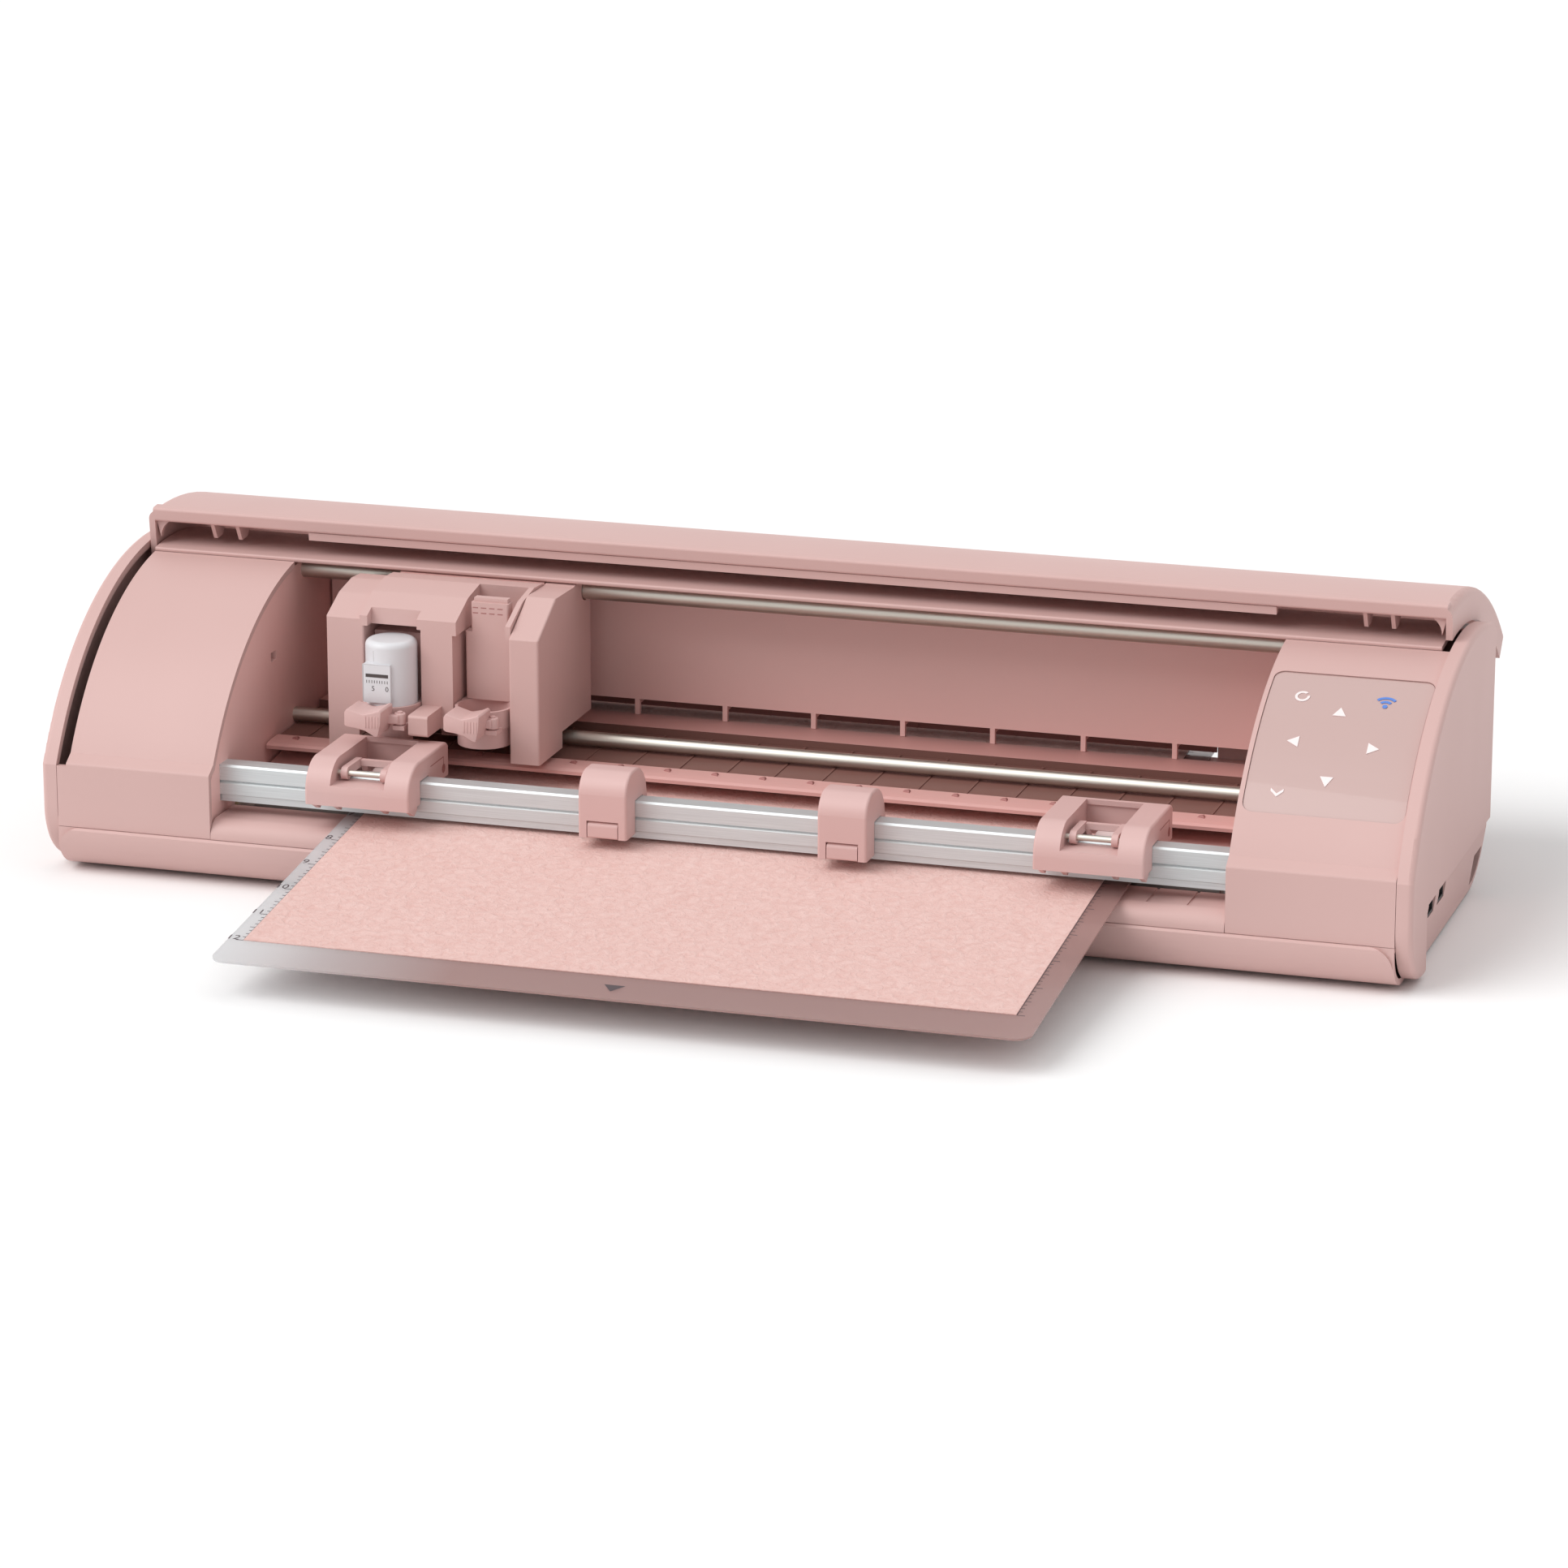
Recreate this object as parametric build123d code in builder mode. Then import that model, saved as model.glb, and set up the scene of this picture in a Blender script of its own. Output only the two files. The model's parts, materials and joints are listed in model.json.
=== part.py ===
from build123d import *
import os
from math import asin, atan2, ceil, cos, degrees, pi, radians, sin, sqrt, tan

# Desktop vinyl cutter, lid open, with its cutting mat loaded. Millimetres, +X along the
# machine, -Y to the front, +Z up. The body is drawn about its own middle, and the three
# plane helpers below shift it so that the origin is under the middle of everything.

os.makedirs("parts", exist_ok=True)

# ---------------------------------------------------------------- driving dimensions
BODY_LENGTH = 561.0
BODY_FRONT = -80.0
BODY_REAR = 76.0
OPENING_HALF = 208.0
FLOOR_Z = 1.5
SEAM = 0.2
SHELL = 2.5
RUN_FIT = 0.04

# the curved shells and the lid are turned about one axis along X, under the machine
ARC_Y = 35.0
ARC_Z = -15.0
FLANGE_R = 130.0
PANEL_STEP = 2.5
COVER_STEP = 1.0
COVER_WALL = 2.0
COVER_FRONT_DEG = -8.0

# end caps
CAP_RIM = 6.5
CAP_WALL = 3.0
CAP_EDGE = 2.2
FRONT_CORNER_R = 26.0
REAR_CORNER_R = 14.0

# lid
LID_OVER = 13.5
LID_WALL = 3.0
LID_FRONT_DEG = -6.3
LID_REAR_DEG = 42.5
LID_TRAVEL_DEG = 54.0
LID_SLOT = 4.3
LID_END_WALL = 2.6
LID_END_DROP = 9.0
LID_END_CLEAR = 3.1
LID_LIP_DEG = 2.4
LID_LIP_IN = 1.6
LID_LIP_OUT = 1.3
LID_HEM_CLEAR = 1.8
LID_RIB_CLEAR = 5.4
LID_RIB_HALF = 203.0

# front of the body
LEDGE_Z = 46.5
LEDGE_RISE = 3.2
BAR_TOP_Z = 20.0
BAR_PROUD = 1.5
BAR_END_R = 9.0
TABLE_TOP_Z = 27.7
TABLE_REAR = -33.8
TABLE_EDGE_R = 7.0

# cutting mat and card, on a plane that falls towards the front
MAT_TILT_DEG = 6.0
MAT_CLEAR = 0.3
CARD_CLEAR = 0.45
MAT_THICK = 0.8
CARD_THICK = 0.3
CARD_SIDE = 304.8
MAT_LEFT = -155.5
MAT_RIGHT = 166.0
MAT_FRONT_MARGIN = 20.5
MAT_REAR_MARGIN = 16.5
MAT_SIDE_MARGIN = 6.5
MAT_OVERHANG = 131.5
MAT_CORNER_R = 6.0
MAT_FORWARD = 100.0
MAT_BACKWARD = 140.0

# front rail and the parts that ride on it
RAIL_FRONT = -66.4
RAIL_DEPTH = 9.0
RAIL_BOTTOM = 32.4
RAIL_TOP = 47.6
RAIL_FIT = 0.35

# feed rollers
FEED_Y = -46.0
GRIT_R = 8.0
GRIT_HALF = 200.0
JOURNAL_R = 4.0
PINCH_R = 6.3
PINCH_WIDTH = 11.0
ROLLER_GAP = 0.25
FEED_MODULE = 0.7
FEED_TEETH = 40
PINION_TEETH = 16
GEAR_WIDTH = 6.0
GEAR_X = -218.0
PINION_DEG = 45.0

# guide shaft, lower rod and belt
SHAFT_Y = 30.0
SHAFT_Z = 105.8
SHAFT_R = 4.0
BUSH_WALL = 0.9
ROD_Y = 16.0
ROD_Z = 46.8
ROD_R = 3.0
BELT_Y = 47.0
BELT_Z = 101.5
BELT_WIDTH = 5.0
BELT_THICK = 1.2
BELT_R = 5.0
PULLEY_X = 231.0

# carriage and its two tools
CARRIAGE_LEFT = -178.0
CARRIAGE_RIGHT = -86.4
CARRIAGE_FRONT = -25.0
CARRIAGE_BOTTOM = 46.8
CARRIAGE_BACK = 38.0
CARRIAGE_TO_LEFT = 28.0
CARRIAGE_TO_RIGHT = 290.0
BLOCK_FRONT = -28.0
BLOCK_WIDTH = 12.6
TOOL_1_X = -149.7
TOOL_1_Y = -26.0
TOOL_2_Y = -21.8
TOOL_R = 10.5
COLLAR_WALL = 1.4
COLLAR_BOTTOM = 61.0
COLLAR_HEIGHT = 7.5
TOOL_TRAVEL = 2.0
LEVER_OPEN_DEG = 60.0

# roller units and hold-down clips, along the rail
UNIT_X = {"left": -145.0, "right": 154.0}
UNIT_WIDTH = 44.0
PIN_Y = -69.6
PIN_Z = 49.8
PIN_R = 1.2
PINCH_LIFT_DEG = 8.0
CLIP_X = {"left": -43.0, "right": 55.0}
CLIP_WIDTH = 20.0

# ---------------------------------------------------------------- worked out from them
HALF = BODY_LENGTH / 2
PANEL_R = FLANGE_R - PANEL_STEP
COVER_R = FLANGE_R - COVER_STEP
LID_R = FLANGE_R + LID_OVER
LID_END_IN_R = FLANGE_R - LID_END_DROP
LID_HEM_R = FLANGE_R + LID_HEM_CLEAR
LID_RIB_IN_R = FLANGE_R + LID_RIB_CLEAR
COLLAR_R = TOOL_R + COLLAR_WALL
TOOL_2_X = CARRIAGE_RIGHT - BLOCK_WIDTH - COLLAR_R - 0.9
CAP_IN = HALF - CAP_RIM
INNER_HALF = CAP_IN - LID_SLOT
PANEL_END = {-1: INNER_HALF, 1: CAP_IN - SEAM}
LID_HALF = CAP_IN - (LID_SLOT - LID_END_WALL) / 2
LID_IN_R = LID_R - LID_WALL
FRAME_IN = OPENING_HALF + 0.8
FRAME_OUT = FRAME_IN + SHELL
FRAME_R = PANEL_R - SHELL - SEAM
TILT = radians(MAT_TILT_DEG)
MAT_Z = TABLE_TOP_Z + MAT_CLEAR
MAT_LENGTH = MAT_FRONT_MARGIN + CARD_SIDE + MAT_REAR_MARGIN
MAT_FRONT_Y = BODY_FRONT - MAT_OVERHANG * cos(TILT)
MAT_REAR_Y = MAT_FRONT_Y + MAT_LENGTH * cos(TILT)
LID_REAR_Y = ARC_Y + LID_R * sin(radians(LID_REAR_DEG))
BODY_Y = -(MAT_FRONT_Y + max(LID_REAR_Y, MAT_REAR_Y)) / 2
TRAY_TOP = FLOOR_Z + SHELL


def mat_under(y):
    """Height of the mat's underside at a distance from the body's middle."""
    return MAT_Z + (y - BODY_FRONT) * tan(TILT)


def card_over(y):
    """Height just clear of the card's top at a distance from the body's middle."""
    return mat_under(y) + (MAT_THICK + CARD_THICK) / cos(TILT) + CARD_CLEAR


GRIT_Z = mat_under(FEED_Y) - (GRIT_R + ROLLER_GAP) / cos(TILT)
PINCH_Z = mat_under(FEED_Y) + (MAT_THICK + CARD_THICK + ROLLER_GAP + PINCH_R) / cos(TILT)


# ---------------------------------------------------------------- planes and outlines
def side(x):
    """Plane across the machine at x: its x runs to the rear and its y up."""
    return Plane((x, BODY_Y, 0), x_dir=(0, 1, 0), z_dir=(1, 0, 0))


def level(z):
    """Horizontal plane at height z, about the body's middle."""
    return Plane((0, BODY_Y, z))


def upright(y):
    """Plane along the machine at depth y: its x runs right, its y up, and it faces front."""
    return Plane((0, BODY_Y + y, 0), x_dir=(1, 0, 0), z_dir=(0, -1, 0))


def mat_plane(height):
    """The mat's own plane, from the table's front edge, raised along its normal."""
    normal = (0, -sin(TILT), cos(TILT))
    return Plane((0, BODY_Y + BODY_FRONT, MAT_Z), x_dir=(1, 0, 0), z_dir=normal).offset(height)


def on_arc(radius, angle):
    """Point at a radius and an angle from upright, about the lid's axis."""
    return (ARC_Y + radius * sin(radians(angle)), ARC_Z + radius * cos(radians(angle)))


def arc_height(radius, y):
    """Height of the circle of this radius at depth y."""
    return ARC_Z + sqrt(radius**2 - (y - ARC_Y) ** 2)


def arc_depth(radius, z):
    """Depth of the front of the circle of this radius at height z."""
    return ARC_Y - sqrt(radius**2 - (z - ARC_Z) ** 2)


def arc_between(radius, first, last):
    """Arc about the lid's axis from one angle to another, inside a BuildLine."""
    middle = (first + last) / 2
    return ThreePointArc(on_arc(radius, first), on_arc(radius, middle), on_arc(radius, last))


def band(inner, outer, first, last):
    """Closed band about the lid's axis, inside a BuildSketch on a side plane."""
    with BuildLine() as outline:
        outside = arc_between(outer, first, last)
        inside = arc_between(inner, first, last)
        Line(outside @ 0, inside @ 0)
        Line(outside @ 1, inside @ 1)
    make_face(outline.edges())


def block(x0, x1, y0, y1, z0, z1, mode=Mode.ADD):
    """Box between body coordinates, inside a BuildPart."""
    centre = ((x0 + x1) / 2, BODY_Y + (y0 + y1) / 2, (z0 + z1) / 2)
    with Locations(centre):
        Box(x1 - x0, y1 - y0, z1 - z0, mode=mode)


def rod_x(x0, x1, y, z, radius, mode=Mode.ADD):
    """Round bar or hole along X, inside a BuildPart."""
    with BuildSketch(side(x0)) as disc:
        with Locations((y, z)):
            Circle(radius)
    extrude(disc.sketch, amount=x1 - x0, mode=mode)


def post_z(x, y, z0, z1, radius, mode=Mode.ADD):
    """Upright round bar or hole, inside a BuildPart."""
    with BuildSketch(level(z0)) as disc:
        with Locations((x, y)):
            Circle(radius)
    extrude(disc.sketch, amount=z1 - z0, mode=mode)


def profile(x0, x1, points, mode=Mode.ADD):
    """Side outline through straight corners, drawn out from x0 to x1."""
    with BuildSketch(side(x0)) as outline:
        with BuildLine():
            Polyline(*points, close=True)
        make_face()
    extrude(outline.sketch, amount=x1 - x0, mode=mode)


def write(piece, name):
    """Label a finished piece and write it as its own STEP file."""
    piece.part.label = name
    export_step(piece.part, f"parts/{name}.step")


def body_outline(inset):
    """The machine's end view, set in by a wall, inside a BuildSketch on a side plane."""
    front = BODY_FRONT + inset
    rear = BODY_REAR - inset
    bottom = FLOOR_Z + inset
    radius = FLANGE_R - inset
    front_r = FRONT_CORNER_R - inset
    rear_r = REAR_CORNER_R - inset
    shoulder = (front, ARC_Z + sqrt(radius**2 - (front - ARC_Y) ** 2))
    back_top = (rear, arc_height(radius, rear))
    slope = sqrt(0.5)
    with BuildLine() as outline:
        Line((front + front_r, bottom), (rear - rear_r, bottom))
        ThreePointArc(
            (rear - rear_r, bottom),
            (rear - rear_r + rear_r * slope, bottom + rear_r - rear_r * slope),
            (rear, bottom + rear_r),
        )
        Line((rear, bottom + rear_r), back_top)
        first = degrees(asin((front - ARC_Y) / radius))
        last = degrees(asin((rear - ARC_Y) / radius))
        arc_between(radius, first, last)
        Line(shoulder, (front, bottom + front_r))
        ThreePointArc(
            (front, bottom + front_r),
            (front + front_r - front_r * slope, bottom + front_r - front_r * slope),
            (front + front_r, bottom),
        )
    make_face(outline.edges())


# ---------------------------------------------------------------- fixed body: shells
PORT_Y = {"usb": -33.0, "power": -13.0}
PORT_WIDTH = 12.4
PORT_Z0 = 19.8
PORT_Z1 = 27.0
RECESS_FRONT = -51.0
RECESS_TOP = 28.8
RECESS_DEPTH = 1.8
UNDERCUT_Z = 25.0
UNDERCUT_DEPTH = 5.4


def end_cap(name, sign):
    """Moulded end: an outer wall and a rim, with the lid's slot left inside the rim."""
    with BuildPart() as cap:
        with BuildSketch(side(sign * CAP_IN)):
            body_outline(0)
        extrude(amount=sign * CAP_RIM)
        outside = cap.faces().sort_by(Axis.X)[-1 if sign > 0 else 0]
        fillet(outside.edges(), CAP_EDGE)
        with BuildSketch(side(sign * CAP_IN)):
            body_outline(CAP_WALL)
        extrude(amount=sign * (CAP_RIM - CAP_WALL), mode=Mode.SUBTRACT)
        # the lower wall is thickened inside, then cut back as a grip under the ends
        low_rear = BODY_REAR - CAP_WALL - 1
        block(
            min(sign * CAP_IN, sign * (HALF - CAP_WALL)),
            max(sign * CAP_IN, sign * (HALF - CAP_WALL)),
            RECESS_FRONT - 3, low_rear - REAR_CORNER_R, TRAY_TOP, RECESS_TOP + 3,
        )
        with BuildSketch(upright(RECESS_FRONT)):
            with BuildLine():
                Polyline(
                    (sign * (HALF + 1), RECESS_TOP),
                    (sign * (HALF - RECESS_DEPTH), RECESS_TOP),
                    (sign * (HALF - RECESS_DEPTH), UNDERCUT_Z),
                    (sign * (HALF - UNDERCUT_DEPTH), FLOOR_Z - 1),
                    (sign * (HALF + 1), FLOOR_Z - 1),
                    close=True,
                )
            make_face()
        extrude(amount=-(BODY_REAR - RECESS_FRONT + 1), mode=Mode.SUBTRACT)
        if sign > 0:
            for y in PORT_Y.values():
                half = PORT_WIDTH / 2 + 0.3
                block(CAP_IN - 1, HALF + 1, y - half, y + half, PORT_Z0 - 0.3, PORT_Z1 + 0.3,
                      mode=Mode.SUBTRACT)
    write(cap, name)


PAD_DEG = (-51.3, -19.5)
PAD_EDGE_IN = 2.0
PAD_EDGE_OUT = 0.9
PAD_DEPTH = 0.5
PAD_THICK = 1.0
PAD_CORNER_R = 4.0
PAD_CUT = 10.0


def pad_prism(grow, thick):
    """Rounded block over the control pad, square to the panel at the pad's middle."""
    middle = sum(PAD_DEG) / 2
    pad_in = OPENING_HALF + PAD_EDGE_IN
    pad_out = PANEL_END[1] - PAD_EDGE_OUT
    y, z = on_arc(PANEL_R, middle)
    turn = radians(middle)
    facing = Plane(
        ((pad_in + pad_out) / 2, BODY_Y + y, z),
        x_dir=(1, 0, 0), z_dir=(0, sin(turn), cos(turn)),
    )
    width = pad_out - pad_in + 2 * grow
    height = 2 * PANEL_R * sin(radians(PAD_DEG[1] - PAD_DEG[0]) / 2) + 2 * grow
    with BuildPart() as prism:
        with BuildSketch(facing):
            RectangleRounded(width, height, PAD_CORNER_R + grow)
        extrude(amount=thick, both=True)
    return prism.part


def front_panel(name, sign):
    """Curved panel beside the opening: shell above the ledge, flat band below it."""
    ledge_in = arc_depth(PANEL_R, LEDGE_Z + LEDGE_RISE)
    top_out = degrees(asin((ledge_in - ARC_Y) / PANEL_R))
    inner_r = PANEL_R - SHELL
    low = BAR_TOP_Z + SEAM
    inner_ledge = LEDGE_Z + LEDGE_RISE - SHELL
    inner_deg = degrees(asin((arc_depth(inner_r, inner_ledge) - ARC_Y) / inner_r))
    last = COVER_FRONT_DEG - SEAM / 2
    with BuildPart() as panel:
        with BuildSketch(side(sign * OPENING_HALF)):
            with BuildLine():
                Polyline((BODY_FRONT, low), (BODY_FRONT, LEDGE_Z), on_arc(PANEL_R, top_out))
                arc_between(PANEL_R, top_out, last)
                Line(on_arc(PANEL_R, last), on_arc(inner_r, last))
                arc_between(inner_r, last, inner_deg)
                Polyline(
                    on_arc(inner_r, inner_deg),
                    (BODY_FRONT + SHELL, LEDGE_Z - 1.3),
                    (BODY_FRONT + SHELL, low),
                    (BODY_FRONT, low),
                )
            make_face()
        extrude(amount=sign * (PANEL_END[sign] - OPENING_HALF))
        crease = panel.edges().filter_by(Axis.X).filter_by(
            lambda e: abs(e.center().Z - LEDGE_Z) < 0.1 and
            abs(e.center().Y - BODY_Y - BODY_FRONT) < 0.1)
        fillet(crease, 1.2)
        if sign < 0:
            block(SEAM - CAP_IN, 0.01 - INNER_HALF, BODY_FRONT, BODY_FRONT + SHELL, low,
                  LEDGE_Z - 1.2)
        else:
            add(pad_prism(SEAM, PAD_CUT), mode=Mode.SUBTRACT)
            with BuildSketch(side(OPENING_HALF)):
                floor_r = PANEL_R - PAD_DEPTH - PAD_THICK - SEAM / 2
                band(inner_r, floor_r, PAD_DEG[0] - 2, PAD_DEG[1] + 2)
            extrude(amount=PANEL_END[1] - OPENING_HALF)
    write(panel, name)


def control_pad():
    """Curved touch plate that lies in the right panel's recess."""
    with BuildPart() as pad:
        with BuildSketch(side(OPENING_HALF)):
            outer = PANEL_R - PAD_DEPTH
            band(outer - PAD_THICK, outer, PAD_DEG[0] - 2, PAD_DEG[1] + 2)
        extrude(amount=PANEL_END[1] - OPENING_HALF)
        add(pad_prism(0, PAD_CUT), mode=Mode.INTERSECT)
    write(pad, "control_pad")


PAD_TOP_R = PANEL_R - PAD_DEPTH
ICON_THICK = 0.25


def pad_plane(x, angle):
    """Tangent plane on the pad at x and an angle, just clear of its surface."""
    y, z = on_arc(PAD_TOP_R + 0.02, angle)
    turn = radians(angle)
    return Plane((x, BODY_Y + y, z), x_dir=(1, 0, 0), z_dir=(0, sin(turn), cos(turn)))


# place of each white mark: x, angle, and which way it points in degrees
ARROWS = {"up": (239.5, -29.5, 90), "left": (225.0, -36.7, 180),
          "right": (255.0, -37.0, 0), "down": (240.3, -44.2, 270)}
ARROW_R = 3.0
RING_R = 2.9
RING_AT = (223.3, -26.0)
CHEVRON_AT = (222.3, -47.6)
WAVES_AT = (256.0, -25.8)


def control_icons():
    """White marks: four arrows, a ring with a gap and a chevron."""
    with BuildPart() as icons:
        for x, angle, heading in ARROWS.values():
            with BuildSketch(pad_plane(x, angle)):
                with Locations(Rotation(0, 0, heading)):
                    RegularPolygon(radius=ARROW_R, side_count=3)
            extrude(amount=ICON_THICK)
        with BuildSketch(pad_plane(*RING_AT)):
            Circle(RING_R)
            Circle(RING_R - 1.0, mode=Mode.SUBTRACT)
            with Locations((RING_R - 0.6, 1.4)):
                Rectangle(2.2, 1.7, rotation=30, mode=Mode.SUBTRACT)
        extrude(amount=ICON_THICK)
        with BuildSketch(pad_plane(*CHEVRON_AT)):
            with BuildLine():
                Polyline((-2.5, 1.1), (0, -1.2), (2.5, 1.1), (2.5, 2.3), (0, 0.1), (-2.5, 2.3),
                         close=True)
            make_face()
        extrude(amount=ICON_THICK)
    write(icons, "control_icons")


def wireless_icon():
    """Blue signal mark: a dot under two plain arcs."""
    with BuildPart() as waves:
        with BuildSketch(pad_plane(*WAVES_AT)):
            with Locations((0, -2.6)):
                Circle(1.0)
            for radius in (3.2, 5.4):
                with BuildLine():
                    outer = CenterArc((0, -2.6), radius, 45, 90)
                    inner = CenterArc((0, -2.6), radius - 1.1, 45, 90)
                    Line(outer @ 0, inner @ 0)
                    Line(outer @ 1, inner @ 1)
                make_face()
        extrude(amount=ICON_THICK)
    write(waves, "wireless_icon")


def top_cover():
    """Fixed cover behind the opening, under the open lid."""
    last = degrees(asin((BODY_REAR - ARC_Y) / COVER_R)) - 0.2
    with BuildPart() as cover:
        with BuildSketch(side(-INNER_HALF)):
            band(COVER_R - COVER_WALL, COVER_R, COVER_FRONT_DEG, last)
        extrude(amount=2 * INNER_HALF)
        edge = cover.edges().filter_by(Axis.X).sort_by(Axis.Y)[:2]
        fillet(edge, 0.8)
    write(cover, "top_cover")


SLOT_HALF = 168.5
SLOT_LOW = 43.4
SLOT_HIGH = 53.0
REAR_LOW = 22.4


def rear_cover():
    """Back wall with the slot that the mat leaves by."""
    top = arc_height(COVER_R - COVER_WALL, BODY_REAR) - SEAM
    shoulder = ARC_Z + sqrt(LID_END_IN_R**2 - (BODY_REAR - SHELL - ARC_Y) ** 2) - 2.5
    with BuildPart() as cover:
        wide = CAP_IN - SEAM
        narrow = INNER_HALF
        block(-wide, wide, BODY_REAR - SHELL, BODY_REAR, REAR_LOW, shoulder)
        block(-narrow, narrow, BODY_REAR - SHELL, BODY_REAR, shoulder, top)
        block(-SLOT_HALF, SLOT_HALF, BODY_REAR - SHELL - 1, BODY_REAR + 1, SLOT_LOW, SLOT_HIGH,
              mode=Mode.SUBTRACT)
    write(cover, "rear_cover")


FOOT_X = 236.0
FOOT_Y = (-46.0, 52.0)
FOOT_R = 9.0
BOARD_X = (216.0, 270.0)
BOARD_Y = (-58.0, 30.0)
BOARD_Z = 13.0
BOARD_THICK = 1.6


def base_tray():
    """Bottom tray: rounded front bar, floor, rear rise and the bosses for the board."""
    wide = CAP_IN - SEAM
    front = BODY_FRONT - BAR_PROUD
    inner_front = front + SHELL
    slope = sqrt(0.5)
    corner = BAR_TOP_Z - FLOOR_Z
    rear_r = REAR_CORNER_R
    with BuildPart() as tray:
        with BuildSketch(side(-wide)):
            for wall, mode in ((0, Mode.ADD), (SHELL, Mode.SUBTRACT)):
                r1 = corner - 1.5 - wall
                r2 = rear_r - wall
                y0 = front + wall
                y1 = BODY_REAR - wall
                z0 = FLOOR_Z + wall
                lift = 5 * wall / SHELL
                top_front = BAR_TOP_Z + lift
                top_rear = REAR_LOW - SEAM + lift
                with BuildLine():
                    Line((y0 + r1, z0), (y1 - r2, z0))
                    ThreePointArc((y1 - r2, z0), (y1 - r2 + r2 * slope, z0 + r2 - r2 * slope),
                                  (y1, z0 + r2))
                    Polyline((y1, z0 + r2), (y1, top_rear), (y0 + 0.9, top_front))
                    Polyline((y0 + 0.9, top_front), (y0, top_front - 0.9), (y0, z0 + r1))
                    ThreePointArc((y0, z0 + r1),
                                  (y0 + r1 - r1 * slope, z0 + r1 - r1 * slope),
                                  (y0 + r1, z0))
                make_face(mode=mode)
        extrude(amount=2 * wide)
        # shelf that carries the front table and the panels' lower edges
        block(-wide, wide, inner_front - 0.1, inner_front + 6, BAR_TOP_Z - 2 - SEAM,
              BAR_TOP_Z - SEAM)
        # the proud face of the bar ends in round corners
        height = BAR_TOP_Z - FLOOR_Z
        with BuildSketch(upright(BODY_FRONT)) as around:
            with Locations((0, FLOOR_Z + height / 2)):
                Rectangle(2 * wide + 2, height + 2)
                RectangleRounded(2 * wide - 1, height, BAR_END_R, mode=Mode.SUBTRACT)
        extrude(around.sketch, amount=BAR_PROUD + 1, mode=Mode.SUBTRACT)
        for x in (BOARD_X[0] + 4, BOARD_X[1] - 8):
            for y in (BOARD_Y[0] + 5, BOARD_Y[1] - 5):
                post_z(x, y, TRAY_TOP - 0.1, BOARD_Z - 0.05, 2.5)
    write(tray, "base_tray")


def rubber_feet():
    """Four round feet under the tray."""
    with BuildPart() as feet:
        for x in (-FOOT_X, FOOT_X):
            for y in FOOT_Y:
                post_z(x, y, 0, FLOOR_Z, FOOT_R)
        chamfer(feet.faces().sort_by(Axis.Z)[:4].edges(), 0.8)
    write(feet, "rubber_feet")


SCREW_R = 2.8


def case_screws():
    """Countersunk screws of the back cover."""
    with BuildPart() as screws:
        for x in (-255.0, -195.0, 0.0, 195.0, 255.0):
            with BuildSketch(upright(BODY_REAR + 0.05)):
                with Locations((x, 34.0)):
                    Circle(SCREW_R)
                    Circle(1.1, mode=Mode.SUBTRACT)
            extrude(amount=-0.9)
    write(screws, "case_screws")


# ---------------------------------------------------------------- fixed body: inside
SHELF_Z = 98.0
SHELF_THICK = 2.0
SHELF_Y = (28.0, 66.0)
WALL_Y = 58.0
WALL_BOTTOM = 53.0
GUIDE_Z = 43.2
GUIDE_THICK = 2.0
BAND_Y = 41.0
BAND_Z = 46.3
GUIDE_RIB_PITCH = 20.0
STRIP_FRONT = -19.0
STRIP_REAR = -6.0
STRIP_TOP = 44.0
PLATEN_GAP = 0.4
PLATEN_THICK = 2.2


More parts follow.
